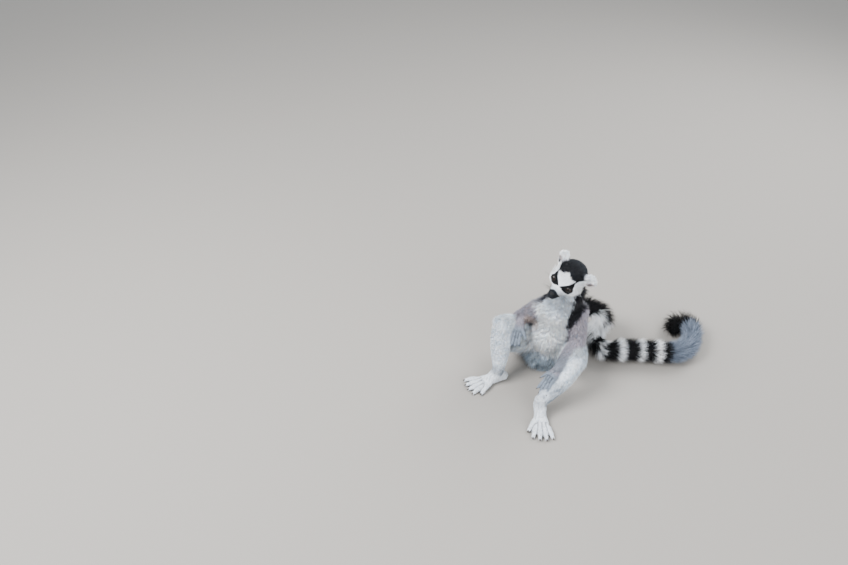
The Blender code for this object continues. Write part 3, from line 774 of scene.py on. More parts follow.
# Painted shade: the skin has the coat's colour, darkened where the locks over it shade it.
SKIN_SHADE = 0.9         # the skin between the locks is a little darker than they are
normals = skin_normals(2)
lie = laid_flat(spread(lie_of_coat(places, normals, membership), pairs, 6), normals)
keep_colours(skin.data, markings(places, membership) * SKIN_SHADE)
activate(skin)
bpy.ops.object.mode_set(mode="EDIT")
bpy.ops.mesh.select_all(action="SELECT")
bpy.ops.uv.smart_project(angle_limit=1.15, island_margin=0.001)
bpy.ops.object.mode_set(mode="OBJECT")
skin.data.uv_layers[0].name = "OFBake"


def add_node(material, kind, links=None, **settings):
    """Adds a node with its settings, and links its inputs from other nodes' outputs."""
    node = material.node_tree.nodes.new(kind)
    for key, value in settings.items():
        if key in node.inputs:
            node.inputs[key].default_value = value
        elif hasattr(node, key):
            setattr(node, key, value)
        else:
            node.inputs[key.replace("_", " ")].default_value = value
    for socket, source in (links or {}).items():
        material.node_tree.links.new(source, node.inputs[socket])
    return node


def new_material(name):
    """A new material and its Principled shader."""
    material = bpy.data.materials.new(name)
    material.use_nodes = True
    return material, material.node_tree.nodes["Principled BSDF"]


# Short velvet fur: dull, with a faint pale bloom at glancing angles and a fine streaky grain.
velvet, shader = new_material("short_velvet_fur")
shader.inputs["Roughness"].default_value = 0.78
shader.inputs["Specular IOR Level"].default_value = 0.08
shader.inputs["Sheen Weight"].default_value = 0.03
shader.inputs["Sheen Roughness"].default_value = 0.5
place = add_node(velvet, "ShaderNodeTexCoord").outputs["Object"]
# The grain is of 0.5 mm tufts, and the clumps of 4 mm.
hair_grain = add_node(velvet, "ShaderNodeTexNoise", {"Vector": place}, Scale=1900.0, Detail=2.0)
clumps = add_node(velvet, "ShaderNodeTexNoise", {"Vector": place}, Scale=260.0, Detail=3.0)
tone = add_node(velvet, "ShaderNodeAttribute", attribute_name="coat_colour")
grain_range = add_node(velvet, "ShaderNodeMapRange", {"Value": hair_grain.outputs["Fac"]}, **{
    "From Min": 0.3, "From Max": 0.7, "To Min": 0.72, "To Max": 1.12})
clump_range = add_node(velvet, "ShaderNodeMapRange", {"Value": clumps.outputs["Fac"]}, **{
    "From Min": 0.3, "From Max": 0.7, "To Min": 0.85, "To Max": 1.10})
both = add_node(velvet, "ShaderNodeMath", {0: grain_range.outputs[0], 1: clump_range.outputs[0]},
                operation="MULTIPLY")
shaded = add_node(velvet, "ShaderNodeVectorMath", {0: tone.outputs["Color"], "Scale": both.outputs[0]},
                  operation="SCALE")
velvet.node_tree.links.new(shaded.outputs[0], shader.inputs["Base Color"])
bump = add_node(velvet, "ShaderNodeBump", {"Height": hair_grain.outputs["Fac"]},
                Strength=0.5, Distance=0.0004)
velvet.node_tree.links.new(bump.outputs[0], shader.inputs["Normal"])
skin.data.materials.clear()
skin.data.materials.append(velvet)
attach(skin, "root")
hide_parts(*FLESH, *TAILS)

# ---------------------------------------------------------------- the eyes
# Two wet eyeballs in dark rims of bare lid. The cornea stands out from the ball, over a dark amber iris
# with a round pupil, and what shows of the ball round it is nearly black, as in all lemurs.

CORNEA_EDGE, CORNEA_BULGE = math.radians(42), 0.0007
LID_RIM, UPPER_LID = 0.00058, 0.00022         # the rim's thickness, and how much thicker the upper lid's is

# A living eye: clear wet cornea over the iris, whose colour goes by the distance from its middle.
wet_eye, shader = new_material("wet_amber_eye")
shader.inputs["Roughness"].default_value = 0.06
shader.inputs["IOR"].default_value = 1.376             # of the cornea
out_from_middle = add_node(wet_eye, "ShaderNodeAttribute", attribute_name="iris_mm")
around = add_node(wet_eye, "ShaderNodeAttribute", attribute_name="iris_around")
fibres = add_node(wet_eye, "ShaderNodeTexNoise", {"Vector": around.outputs["Vector"]}, Scale=9.0, Detail=2.0)
ramp = add_node(wet_eye, "ShaderNodeValToRGB")
scaled = add_node(wet_eye, "ShaderNodeMapRange", {"Value": out_from_middle.outputs["Fac"]}, **{
    "From Max": EYE_RADIUS * 1000})
wet_eye.node_tree.links.new(scaled.outputs[0], ramp.inputs[0])
stops = [(0.0, "#020202"), (0.36, "#030202"), (0.41, "#160c08"), (0.50, "#23130c"), (0.57, "#160c08"),
         (0.63, "#080505"), (1.0, "#060505")]
while len(ramp.color_ramp.elements) < len(stops):
    ramp.color_ramp.elements.new(0.5)
for element, (at, tone_here) in zip(ramp.color_ramp.elements, stops):
    element.position = at
    element.color = (*linear(tone_here), 1)
fibre_range = add_node(wet_eye, "ShaderNodeMapRange", {"Value": fibres.outputs["Fac"]}, **{
    "To Min": 0.5, "To Max": 1.5})
iris = add_node(wet_eye, "ShaderNodeVectorMath", {0: ramp.outputs[0], "Scale": fibre_range.outputs[0]},
                operation="SCALE")
wet_eye.node_tree.links.new(iris.outputs[0], shader.inputs["Base Color"])

# Bare black skin, as on the lids, nose and lips: finely pebbled leather with a dull moist shine.
leather, shader = new_material("bare_black_skin")
shader.inputs["Base Color"].default_value = (*linear("#090a0d"), 1)
shader.inputs["Roughness"].default_value = 0.52
shader.inputs["Specular IOR Level"].default_value = 0.22
place = add_node(leather, "ShaderNodeTexCoord").outputs["Object"]
pebbles = add_node(leather, "ShaderNodeTexVoronoi", {"Vector": place}, Scale=2200.0)   # 0.45 mm pebbles
bump = add_node(leather, "ShaderNodeBump", {"Height": pebbles.outputs["Distance"]},
                Strength=0.35, Distance=0.0002)
leather.node_tree.links.new(bump.outputs[0], shader.inputs["Normal"])


def finished(thing, name, material):
    """Names a piece, smooths its shading, gives it its finish and hangs it on the frame."""
    thing.name = thing.data.name = name
    thing.data.materials.clear()
    thing.data.materials.append(material)
    thing.data.polygons.foreach_set("use_smooth", np.ones(len(thing.data.polygons), bool))
    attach(thing, "root")


def turn_faces_out(thing):
    """Points all the faces of a closed thing outwards."""
    activate(thing)
    bpy.ops.object.mode_set(mode="EDIT")
    bpy.ops.mesh.select_all(action="SELECT")
    bpy.ops.mesh.normals_make_consistent(inside=False)
    bpy.ops.object.mode_set(mode="OBJECT")


def on_rim(side, angle):
    """The directions from an eye's centre to its lids' rim, at angles round the opening."""
    _, ahead, out, up = gaze(side)
    across, high = LID_WIDE * np.cos(angle), LID_HIGH * np.sin(angle)
    forward = np.sqrt(1 - across ** 2 - high ** 2)
    return across[:, None] * out + high[:, None] * up + forward[:, None] * ahead


for side, name in SIDE.items():
    centre, ahead, out, up = gaze(side)
    deselect()
    bpy.ops.mesh.primitive_uv_sphere_add(segments=48, ring_count=36, radius=EYE_RADIUS - 0.0001)
    eyeball = bpy.context.active_object
    rows = vertex_rows(eyeball.data)
    turn = np.arctan2(rows[:, 1], rows[:, 0])
    lean = np.arccos(np.clip(rows[:, 2] / np.linalg.norm(rows, axis=1), -1, 1))
    bulge = CORNEA_BULGE * np.clip(1 - (lean / CORNEA_EDGE) ** 2, 0, 1)
    rows *= (1 + bulge / EYE_RADIUS)[:, None]
    layer = eyeball.data.attributes.new("iris_mm", "FLOAT", "POINT")
    from_middle = np.where(lean < math.pi / 2, np.sin(lean), 1) * EYE_RADIUS * 1000
    layer.data.foreach_set("value", from_middle.astype(np.float32))
    layer = eyeball.data.attributes.new("iris_around", "FLOAT_VECTOR", "POINT")
    round_iris = np.column_stack([np.cos(turn), np.sin(turn), lean * 0.3])
    layer.data.foreach_set("vector", round_iris.astype(np.float32).ravel())
    placed = centre + rows @ np.array([out, np.cross(ahead, out), ahead])
    set_rows(eyeball.data, from_head(placed))
    if np.dot(np.cross(out, np.cross(ahead, out)), ahead) < 0:
        eyeball.data.flip_normals()
    finished(eyeball, f"eyeball_{name}", wet_eye)
    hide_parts(f"eye_{name}")

    deselect()
    bpy.ops.mesh.primitive_torus_add(major_segments=64, minor_segments=12,
                                     major_radius=1.0, minor_radius=0.25)
    rim = bpy.context.active_object
    rows = vertex_rows(rim.data)
    turn = np.arctan2(rows[:, 1], rows[:, 0])
    outward, above = (np.hypot(rows[:, 0], rows[:, 1]) - 1) * 4, rows[:, 2] * 4
    thick = LID_RIM + UPPER_LID * np.clip(np.sin(turn), 0, 1)
    to_rim = on_rim(side, turn)
    tangent = unit(on_rim(side, turn + 0.01) - to_rim)
    sideways = np.cross(tangent, to_rim)
    sideways *= np.sign(np.sum(sideways * (to_rim - ahead), axis=1, keepdims=True))
    placed = centre + to_rim * (EYE_RADIUS + 0.00035 + above * thick)[:, None]
    placed = placed + sideways * (outward * thick + 0.0002)[:, None]
    set_rows(rim.data, from_head(placed))
    turn_faces_out(rim)
    finished(rim, f"eyelids_{name}", leather)

# ---------------------------------------------------------------- the nose
# A wedge of bare, moist, pebbled skin on the muzzle's tip, wide above and narrow below, with a
# comma-shaped nostril on each side and a groove down its middle to the lip.

NOSE_PLACE, NOSE_SIZE = np.array([0, -0.0363, -0.0046]), np.array([0.0038, 0.0033, 0.0031])
NOSTRIL = [(0.0010, 0, -0.0006), (0.0018, 0, -0.0010), (0.0026, 0, -0.0004), (0.0030, 0, 0.0005)]
PIT_WIDE, PIT_DEEP, WING_HIGH = 0.00048, 0.0017, 0.00035
deselect()
bpy.ops.mesh.primitive_uv_sphere_add(segments=96, ring_count=64, radius=1.0)
nose = bpy.context.active_object
rows = vertex_rows(nose.data)
leather_rows = rows * NOSE_SIZE
low = eased(-rows[:, 2], 0.0, 1.0)
leather_rows[:, 0] *= 1 - 0.45 * low
leather_rows[:, 2] *= np.where(rows[:, 2] > 0, 0.82, 1.05)
leather_rows[:, 1] += 0.0010 * low
forward = eased(-rows[:, 1], 0.05, 0.45)
flat = np.column_stack([np.abs(leather_rows[:, 0]), np.zeros(len(rows)), leather_rows[:, 2]])
far = along_line(flat, smooth_line(NOSTRIL, 6))[1]
pit = np.exp(-(far / PIT_WIDE) ** 2) * forward
wing = np.exp(-((far - 0.0011) / 0.0005) ** 2) * forward
leather_rows -= rows * (PIT_DEEP * pit - WING_HIGH * wing)[:, None]
low = eased(-leather_rows[:, 2], -0.0002, 0.0010)
middle_groove = np.exp(-(leather_rows[:, 0] / 0.00028) ** 2) * forward * low
leather_rows -= rows * (0.0005 * middle_groove)[:, None]
set_rows(nose.data, from_head(leather_rows + NOSE_PLACE))
finished(nose, "nose", leather)

# ---------------------------------------------------------------- the whiskers
# Stiff black whiskers spread from each side of the muzzle, with a few over each eye and on each cheek.
# They are thin tapering rods that bow back and down.

WHISKER_RADIUS, BROW_LENGTH, LIP_LENGTH = 0.00016, 0.014, 0.019
# The roots on the left side, in the head's frame: ten on the lip, two over the eye, two on the cheek.
WHISKER_ROOTS = [(0.0066, -0.0320, -0.0050), (0.0074, -0.0300, -0.0068), (0.0080, -0.0285, -0.0046),
                 (0.0086, -0.0270, -0.0072), (0.0080, -0.0300, -0.0028), (0.0090, -0.0255, -0.0052),
                 (0.0094, -0.0240, -0.0078), (0.0084, -0.0270, -0.0022), (0.0070, -0.0315, -0.0034),
                 (0.0100, -0.0225, -0.0060), (0.0110, -0.0150, 0.0140), (0.0130, -0.0140, 0.0142),
                 (0.0225, -0.0040, -0.0060), (0.0215, -0.0020, -0.0090)]
hold = np.random.default_rng(21)
whiskers = []
face_surface = BVHTree.FromPolygons([Vector(p) for p in in_head(places)],
                                    [tuple(f.vertices) for f in skin.data.polygons])
for root in WHISKER_ROOTS:
    for side in SIDE:
        at = face_surface.find_nearest(Vector((root[0] * side, root[1], root[2])))[0]
        brow = root[2] > 0.01
        way = (0.25 * side, -0.35, 0.9) if brow else (0.85 * side, 0.15, -0.25 + 45 * (root[2] + 0.005))
        way = unit(np.array(way) + 0.12 * hold.normal(size=3))
        length = (BROW_LENGTH if brow else LIP_LENGTH) * hold.uniform(0.8, 1.2)
        share = np.linspace(0, 1, 7)[:, None]
        bow = np.array([0, 0.16, -0.14]) * length * share ** 2
        line = np.array(at) + way * length * (share - 0.03) + bow
        deselect()
        bpy.ops.mesh.primitive_cylinder_add(vertices=5, radius=1.0, depth=1.0, end_fill_type="NGON")
        rod = bpy.context.active_object
        shape = bmesh.new()
        shape.from_mesh(rod.data)
        upright = [e for e in shape.edges if abs(e.verts[0].co.z - e.verts[1].co.z) > 0.5]
        bmesh.ops.subdivide_edges(shape, edges=upright, cuts=5)
        shape.to_mesh(rod.data)
        shape.free()
        rows = vertex_rows(rod.data)
        up_share = np.clip(rows[:, 2] + 0.5, 0, 1)
        middle = at_way(up_share, share[:, 0], line)
        aside = unit(np.cross(way, (0.1, 0.3, 1.0)))
        thick = (WHISKER_RADIUS * (1 - 0.8 * up_share))[:, None]
        placed = middle + (rows[:, :1] * aside + rows[:, 1:2] * np.cross(way, aside)) * thick
        set_rows(rod.data, from_head(placed))
        whiskers.append(rod)
whisker_set = joined(whiskers)
turn_faces_out(whisker_set)

# Whisker bristle: stiff black horn, smooth and a little glossy.
bristle, shader = new_material("black_bristle")
shader.inputs["Base Color"].default_value = (*linear("#121113"), 1)
shader.inputs["Roughness"].default_value = 0.35
finished(whisker_set, "whiskers", bristle)

# ---------------------------------------------------------------- the nails
# A flat dark nail of horn lies on the end of each finger and toe, a little longer than the pad under
# it. Each is a flattened ball that is bent over its pad, and all of them are one piece.

FINGERTIP, TOE_TIP = 0.0017, 0.0027         # radius of the pads under the nails
nails = []
for digits_of, radius in ((hand_digits, FINGERTIP), (foot_digits, TOE_TIP)):
    for side in SIDE:
        (_, _, down), digits = digits_of(side)
        for base, middle, tip in digits:
            ahead = unit(tip - middle)
            top = unit(-down + ahead * np.dot(down, ahead))
            across = np.cross(ahead, top)
            deselect()
            bpy.ops.mesh.primitive_uv_sphere_add(segments=12, ring_count=8, radius=1.0)
            nail = bpy.context.active_object
            rows = vertex_rows(nail.data) * (radius * 0.52, radius * 0.85, radius * 0.28)
            rows[:, 2] -= rows[:, 0] ** 2 / radius * 0.8 + np.clip(rows[:, 1], 0, 1) ** 2 / radius * 0.5
            start = tip + ahead * radius * 0.85 + top * radius * 0.72
            set_rows(nail.data, start + rows @ np.array([across, ahead, top]))
            nails.append(nail)
nail_set = joined(nails)
turn_faces_out(nail_set)

# Nail horn: dark and smooth with a dull shine, and paler in spots about a millimetre wide.
horn, shader = new_material("dark_horn_nail")
shader.inputs["Roughness"].default_value = 0.35
place = add_node(horn, "ShaderNodeTexCoord").outputs["Object"]
growth = add_node(horn, "ShaderNodeTexNoise", {"Vector": place}, Scale=900.0, Detail=2.0)
horn_tone = add_node(horn, "ShaderNodeMix", {"Factor": growth.outputs["Fac"]}, data_type="RGBA")
horn_tone.inputs["A"].default_value = (*linear("#1d1a19"), 1)
horn_tone.inputs["B"].default_value = (*linear("#4a423d"), 1)
horn.node_tree.links.new(horn_tone.outputs["Result"], shader.inputs["Base Color"])
finished(nail_set, "nails", horn)

# ---------------------------------------------------------------- the coat
# Hair stands on the skin in thin closed locks, each a tapering blade with a ridge, that rises from its
# root and bends over to lie along the body. They are shortest on the face, hands and feet and longest
# on the tail, where they stand out all round like a bottle brush.

HAIR_MM = np.array([5.0, 6.0, 12.0, 11.0, 8.5, 6.5, 3.0, 10.0, 6.8, 3.2, 22.0])    # in the order of PARTS
WIDTH_MM = np.array([0.36, 0.34, 0.56, 0.60, 0.52, 0.44, 0.34, 0.58, 0.46, 0.36, 0.74])
RISE = np.radians([30, 34, 40, 38, 34, 30, 30, 36, 30, 28, 66])
FALL = np.radians([8, 8, 12, 8, 8, 6, 8, 8, 6, 6, 28])
CLUMP = 11               # locks that lean together into one tuft
TAIL_RADIUS = 0.0218     # to the tips of the tail's hair
TAIL_FLESH = 0.0065      # radius of the flesh under its longest hair
random = np.random.default_rng(7)


def tail_radius(way):
    """Radius to the tips of the tail's hair, which is shorter at the root and towards the curled end."""
    share = way / TAIL_LENGTH
    curl = np.maximum(0, share - 0.66) / 0.34
    return TAIL_RADIUS * np.minimum(1, 0.62 + 1.2 * share) * (1 - 0.45 * curl ** 2 * (3 - 2 * curl))


# On the head the hair is short on the face and round the eyes, and grows to the ruff of the cheeks.
hair = membership @ HAIR_MM / 1000
width = membership @ WIDTH_MM / 1000
rise, fall = membership @ RISE, membership @ FALL
local = in_head(places)
from_nose = np.linalg.norm(local - NOSE_TIP, axis=1)
on_head = share_of(membership, "head")
short = np.interp(from_nose, (0.004, 0.014, 0.026, 0.042, 0.055), (0.22, 0.32, 0.42, 0.80, 1.15))
short = 1 - on_head * (1 - short)
eye_measure = np.minimum(lid_measure(local, 1)[0], lid_measure(local, -1)[0])
short = 1 - on_head * (1 - short * np.interp(eye_measure, (1.0, 1.25, 2.2), (0.45, 0.55, 1.0)))
hair *= short * (1 + 1.1 * cheek_ruff(local))
width *= 0.55 + 0.45 * short
for start, end, least in ((ELBOW, WRIST, 0.45), (KNEE, ANKLE, 0.50)):      # shorter towards hands and feet
    for side in SIDE:
        share, far = down_limb(places, start[side], end[side])
        share = eased(share, 0.3, 1.0) * (far < 0.022)
        hair *= 1 - (1 - least) * share * share_of(membership, "forearm", "shin")


def near_way(way, middle, reach, fade):
    """1 near the middle of a stretch of the tail, fading to 0 where its reach ends."""
    return eased(reach - np.abs(way - middle), 0, fade)


# The tail's hair is a brush round its flesh, longer or shorter on some sides of its arch and its curl.
tail_way = along_line(places, TAIL_LINE)[0]
standing = (tail_radius(tail_way) - tail_core_radius(tail_way)) / (TAIL_RADIUS - TAIL_FLESH)
outside = side_of_tail(places, ARCH_OUTSIDE)
longer = 1 + 0.10 * eased(tail_way, 0.39, 0.41)
longer += 0.50 * outside ** 2 * near_way(tail_way, 0.088, 0.036, 0.020)
longer -= 0.20 * outside * near_way(tail_way, 0.140, 0.024, 0.012)
for more, direction, low, high in ((-0.3, unit(np.array([-0.87, -0.50, 0.0])), 0.385, 0.400),
                                   (0.7, unit(np.array([0.60, -0.75, 0.0])), 0.385, 0.405),
                                   (0.8, unit(np.array([-0.30, 0.85, 0.40])), 0.345, 0.375)):
    longer += more * side_of_tail(places, direction) * eased(tail_way, low, high)
inside = side_of_tail(places, np.array([-0.866, -0.5, 0.0]))
longer += 1.4 * inside * near_way(tail_way, 0.105, 0.045, 0.020)
hair *= 1 - share_of(membership, "tail") * (1 - standing * longer)
hair *= 1 + 1.7 * hanging(places, normals) * share_of(membership, "thigh", "trunk")
finger_gap, finger_far = digit_gap(places)
hair = np.minimum(hair, 0.0022 + 0.9 * np.maximum(0, finger_far - 0.0035))      # clear of the fingers

# Places with no hair: the eyes' and ears' openings, the nose, the mouth's line, the soles, and between
# the fingers and toes.
bald = on_head * (eye_measure < 1.10)
bald = np.maximum(bald, on_head * (np.linalg.norm((local - NOSE_PLACE) / (NOSE_SIZE + 0.0004), axis=1) < 1.0))
bald = np.maximum(bald, on_head * (along_line(as_left(local), MOUTH_LINE)[1] < 0.0005))
bald = np.maximum(bald, share_of(membership, "foot") * (places[:, 2] < 0.0022))
bald = np.maximum(bald, ear_opening(local) < 0.0022)
bald = np.maximum(bald, finger_gap > 0.85)
facts = np.column_stack([places, normals, lie, hair, width, rise, fall, bald])

# The skin's triangles, over which the locks' roots are scattered.
skin.data.calc_loop_triangles()
tri_corner = np.zeros(len(skin.data.loop_triangles) * 3, np.int64)
skin.data.loop_triangles.foreach_get("vertices", tri_corner)
tri_corner = tri_corner.reshape(-1, 3)
tri_loop = np.zeros(len(tri_corner) * 3, np.int64)
skin.data.loop_triangles.foreach_get("loops", tri_loop)
unwrap = np.zeros(len(skin.data.loops) * 2)
skin.data.uv_layers["OFBake"].data.foreach_get("uv", unwrap)
tri_uv = unwrap.reshape(-1, 2)[tri_loop].reshape(-1, 3, 2)
first, second, third = (places[tri_corner[:, k]] for k in range(3))
tri_area = np.linalg.norm(np.cross(second - first, third - first), axis=1) / 2
tri_member = membership[tri_corner].mean(axis=1)
tri_middle = (first + second + third) / 3
tri_bald = bald[tri_corner].max(axis=1)

# Guard hair: each lock keeps the coat's colour, with a dull sheen that only shows at glancing angles
# and a grain of 0.3 mm strands.
guard_hair, shader = new_material("guard_hair")
shader.inputs["Roughness"].default_value = 0.70
shader.inputs["Specular IOR Level"].default_value = 0.08
shader.inputs["Sheen Weight"].default_value = 0.03
shader.inputs["Sheen Roughness"].default_value = 0.45
place = add_node(guard_hair, "ShaderNodeTexCoord").outputs["Object"]
strands = add_node(guard_hair, "ShaderNodeTexNoise", {"Vector": place}, Scale=3000.0, Detail=1.0)
strand_range = add_node(guard_hair, "ShaderNodeMapRange", {"Value": strands.outputs["Fac"]}, **{
    "From Min": 0.3, "From Max": 0.7, "To Min": 0.85, "To Max": 1.12})
tone = add_node(guard_hair, "ShaderNodeAttribute", attribute_name="coat_colour")
streaked = add_node(guard_hair, "ShaderNodeVectorMath",
                    {0: tone.outputs["Color"], "Scale": strand_range.outputs[0]}, operation="SCALE")
guard_hair.node_tree.links.new(streaked.outputs[0], shader.inputs["Base Color"])


def scattered(count, weight):
    """Roots over the skin in proportion to each triangle's weight: its number, and its corners' shares."""
    weight = weight * tri_area * (tri_bald < 0.5)
    edge = np.floor(np.cumsum(weight) / weight.sum() * count + random.uniform()).astype(int)
    chosen = np.repeat(np.arange(len(weight)), np.diff(np.concatenate([[0], edge])))
    one, two = np.sqrt(random.uniform(size=len(chosen))), random.uniform(size=len(chosen))
    return chosen, np.column_stack([1 - one, one * (1 - two), one * two])


def gathered(root):
    """Gives each lock the nearest tuft: the tufts' middle locks, each lock's tuft, and how far out it is."""
    centres = np.flatnonzero(random.uniform(size=len(root)) < 1 / CLUMP)
    tree = KDTree(len(centres))
    for k, at in enumerate(root[centres]):
        tree.insert(at, k)
    tree.balance()
    found = [tree.find(at) for at in root]
    tuft = np.array([k for _, k, _ in found])
    outer = np.array([far for _, _, far in found])
    usual = np.bincount(tuft, outer) / np.maximum(np.bincount(tuft), 1)
    return centres, tuft, np.clip(outer / np.maximum(usual[tuft], 1e-6) / 1.5, 0, 1.2)


ROOT_SUNK = 0.0003                      # how deep a lock stands in the skin
BLADE, RIDGE = (0.80, 1.0, 0.62), 0.8   # its width at each bend, and its ridge, as shares of its half width


def lock_corners(root, normal, lay, inward, length, half, start, end, bends):
    """The corners of each lock: three across its blade at each bend, from its root up, and its tip."""
    across = np.cross(normal, lay)
    middle = root - normal * ROOT_SUNK
    rows = []
    for k in range(bends + 1):
        angle = start + (end - start) * (k + 0.5) / (bends + 1)
        heading = lay * np.cos(angle)[:, None] + normal * np.sin(angle)[:, None]
        ridge = np.cross(heading, across)
        ridge *= np.sign(np.sum(ridge * normal, axis=1, keepdims=True))
        wide = across * (half * BLADE[k])[:, None]
        rows += [middle + wide, middle + ridge * (half * BLADE[k] * RIDGE)[:, None], middle - wide]
        middle = middle + heading * (length / (bends + 1))[:, None] + inward * 0.62 / (bends + 1)
    rows.append(middle)
    return np.stack(rows, axis=1)


def lock_faces(bends):
    """The faces of one lock, as numbers of its corners: its root, three sides at each bend, and its tip."""
    faces = [(2, 1, 0)]
    for k in range(0, 3 * bends, 3):
        for i, j in ((0, 1), (1, 2), (2, 0)):
            faces.append((k + i, k + j, k + 3 + j, k + 3 + i))
    return faces + [(3 * bends + i, 3 * bends + j, 3 * bends + 3) for i, j in ((0, 1), (1, 2), (2, 0))]


def mesh_of_locks(name, points, faces):
    """One mesh of all the locks, each with the same faces."""
    corners = np.array([v for face in faces for v in face])
    sizes = np.array([len(face) for face in faces])
    count, per_lock = points.shape[:2]
    lock = np.arange(count)[:, None]
    starts = np.concatenate([[0], np.cumsum(sizes)[:-1]]) + len(corners) * lock
    mesh = bpy.data.meshes.new(name)
    mesh.vertices.add(count * per_lock)
    mesh.vertices.foreach_set("co", points.astype(np.float32).ravel())
    mesh.loops.add(count * len(corners))
    mesh.loops.foreach_set("vertex_index", (corners + per_lock * lock).ravel().astype(np.int32))
    mesh.polygons.add(count * len(sizes))
    mesh.polygons.foreach_set("loop_start", starts.ravel().astype(np.int32))
    mesh.update(calc_edges=True)
    return mesh


UV_PATCH = 0.003         # how wide a lock's patch of the map is
# Painted shade and light up each lock: darker at its shaded root, paler at its tip.
SHADE_LEVELS = {1: (0.62, 0.96, 1.08), 2: (0.50, 0.82, 1.0, 1.08)}      # up a lock, by its number of bends


def grow(name, count, weight, bends=1, hue=0.06, streaks=0.10, ragged=0.10):
    """One piece of coat: this many locks, rooted over the skin's triangles in proportion to their weight."""
    chosen, shares = scattered(count, weight)
    locks = len(chosen)
    own = np.einsum("nk,nkf->nf", shares, facts[tri_corner[chosen]])
    member = np.einsum("nk,nkf->nf", shares, membership[tri_corner[chosen]])
    uv = np.einsum("nk,nkf->nf", shares, tri_uv[chosen])
    root, normal, lay = own[:, :3], unit(own[:, 3:6]), own[:, 6:9]
    length = own[:, 9] * random.uniform(0.72, 1.18, locks)
    half = own[:, 10] * random.uniform(0.75, 1.25, locks) / 2
    start = own[:, 11] + random.normal(0, ragged, locks)
    end = own[:, 12] + random.normal(0, 0.7 * ragged, locks)
    lay = laid_flat(lay, normal) + 0.16 * random.normal(size=(locks, 3))
    lay = laid_flat(lay + 0.20 * drift(root, 0.010, 3) + 0.14 * drift(root, 0.035, 4), normal)
    # Each lock leans to the middle of its tuft, and the outer ones of a tuft lie lower.
    centres, tuft, outer = gathered(root)
    inward = root[centres][tuft] - root
    inward -= normal * np.sum(inward * normal, axis=1, keepdims=True)
    lay = laid_flat(unit(lay + 0.16 * random.normal(size=(len(centres), 3))[tuft]), normal)
    start = start + 0.10 - 0.22 * outer
    points = lock_corners(root, normal, lay, inward, length, half, start, end, bends)
    points[:, :, 2] = np.maximum(points[:, :, 2], 0.0003 + 0.0004 * random.uniform(size=(locks, 1)))
    faces = lock_faces(bends)
    mesh = mesh_of_locks(name, points, faces)

    # Each lock has its own shade at random, and the outer locks of a tuft are darker: painted shade in the
    # valleys between tufts. Up each lock runs painted shade and light, darker at its root and paler at its tip.
    # Pale hair scatters the light down to its root, so it shades less.
    tone = markings(root, member, along=0.68 * length)
    shade = random.normal(0, streaks, locks) + random.normal(0, 0.07, len(centres))[tuft]
    shade = (shade + 0.12 - 0.32 * outer ** 2
             + 0.06 * drift(root, 0.014, 5)[:, 0] + 0.04 * drift(root, 0.05, 6)[:, 1])
    shade = np.exp(shade * (1 - 0.45 * tone.mean(axis=1)))
    warm = 1 + hue * random.normal(size=(locks, 1)) * np.array([[1.0, 0.0, -1.0]])
    tone = np.clip(tone * shade[:, None] * warm, 0.003, 0.94)
    levels = np.repeat(SHADE_LEVELS[bends], [3] * (bends + 1) + [1])
    levels = 1 + (levels - 1) * (1 - 0.75 * tone.mean(axis=1)[:, None])
    keep_colours(mesh, np.clip(tone[:, None, :] * levels[:, :, None], 0, 0.95).reshape(-1, 3))

    # A lock's patch of the map lies where its root is on the skin's.
    rise_on_map = np.arange(bends + 1) / (bends + 1)
    spot = [(x, up + y) for up in rise_on_map for x, y in ((0.5, -0.5), (0.0, -0.42), (-0.5, -0.5))]
    spot = np.array(spot + [(0.0, 0.5)]) * UV_PATCH
    corners = [v for face in faces for v in face]
    layer = mesh.uv_layers.new(name="OFBake")
    layer.data.foreach_set("uv", (uv[:, None, :] + spot[corners][None]).astype(np.float32).ravel())
    finished(put_in_scene(name, mesh), name, guard_hair)


# The coat is grown piece by piece, more densely where its locks are finer.
tri_q = in_head(tri_middle)
is_part = {p: tri_member[:, k] for k, p in enumerate(PARTS)}
is_face = is_part["head"] * (1 - eased(tri_q[:, 1], -0.008, 0.000))
rest_of_head = is_part["head"] - is_face + is_part["ear"]
fineness = 1 / np.maximum(width[tri_corner].mean(axis=1) * 1000, 0.1)
facing = tri_middle[:, 1] < np.interp(tri_middle[:, 2], (0, 0.06, 0.16), (-0.005, 0.000, -0.012))
grow("coat_of_the_face", 16500, is_face * fineness ** 2)
grow("coat_of_the_crown_and_ears", 13500, rest_of_head * fineness)
grow("coat_of_the_neck", 11000, is_part["neck"])
grow("coat_of_the_breast_and_belly", 12500, is_part["trunk"] * facing)
grow("coat_of_the_back", 12000, is_part["trunk"] * ~facing, ragged=0.17)
is_arm, is_end = is_part["upper_arm"] + is_part["forearm"], is_part["hand"] + is_part["foot"]
grow("coat_of_the_arms", 14500, is_arm * fineness, ragged=0.17)
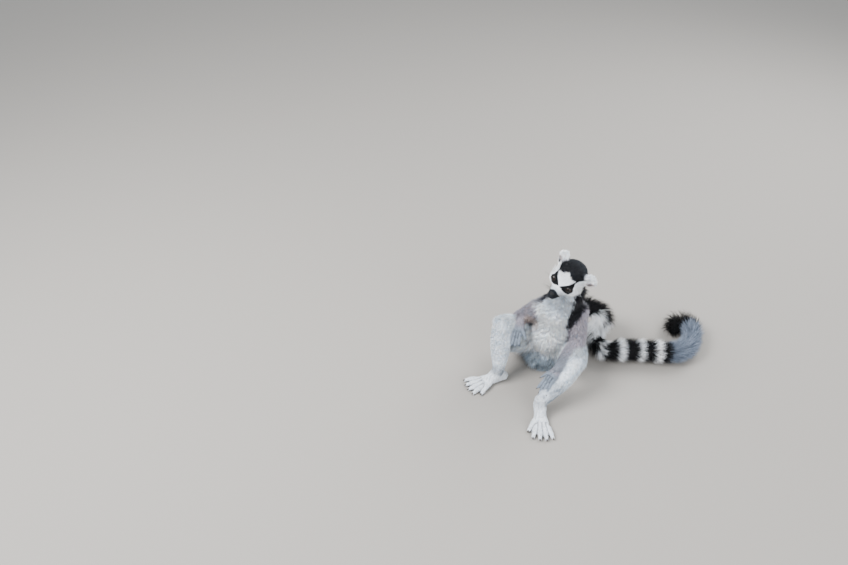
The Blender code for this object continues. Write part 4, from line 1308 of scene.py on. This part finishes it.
grow("coat_of_the_thighs", 13000, is_part["thigh"], ragged=0.17)
grow("coat_of_the_shins", 11500, is_part["shin"] * fineness, ragged=0.17)
grow("coat_of_the_hands_and_feet", 12000, is_end * fineness)
is_tail, upper = is_part["tail"], tail_way[tri_corner].mean(axis=1) < 0.19
grow("coat_of_the_upper_tail", 9900, is_tail * upper, bends=2, hue=0.02, streaks=0.14)
grow("coat_of_the_tail_end", 10500, is_tail * ~upper, bends=2, hue=0.02, streaks=0.28,
     ragged=0.14)

# ---------------------------------------------------------------- the floor, the lights and the camera
# A plain pale floor and soft studio light, with the camera looking down at the animal from a little
# under a metre above the floor.

deselect()
bpy.ops.mesh.primitive_plane_add(size=40, location=(0, 0, 0))
floor = bpy.context.active_object
floor.name = "floor"

# Matt paint: even, with no shine.
floor_paint, shader = new_material("pale_matt_floor")
shader.inputs["Base Color"].default_value = (*linear("#8b8782"), 1)
shader.inputs["Roughness"].default_value = 0.85
floor.data.materials.append(floor_paint)

LIT = Vector((0.03, -0.02, 0.11))       # the middle of the animal, which every lamp faces
for name, place, width, watts in (("key", (-0.9, -0.9, 1.5), 0.9, 78), ("fill", (1.4, -0.9, 0.9), 1.4, 29),
                                  ("back", (0.5, 1.3, 1.3), 1.2, 39)):
    panel = bpy.data.lights.new(name, "AREA")
    panel.shape = "DISK"
    panel.size = width
    panel.energy = watts
    lamp = put_in_scene(name, panel)
    lamp.location = place
    lamp.rotation_euler = (LIT - Vector(place)).to_track_quat("-Z", "Y").to_euler()
world = bpy.data.worlds.new("studio")
bpy.context.scene.world = world
world.use_nodes = True
world.node_tree.nodes["Background"].inputs["Color"].default_value = (0.90, 0.95, 1.0, 1)
world.node_tree.nodes["Background"].inputs["Strength"].default_value = 1.28

lens = bpy.data.cameras.new("camera")
lens.lens = 27.17
lens.sensor_width = 36
camera = put_in_scene("camera", lens)
camera.location = (0.2065, -0.8057, 0.851)
camera.rotation_euler = (math.radians(50), 0, math.radians(30))
bpy.context.scene.camera = camera
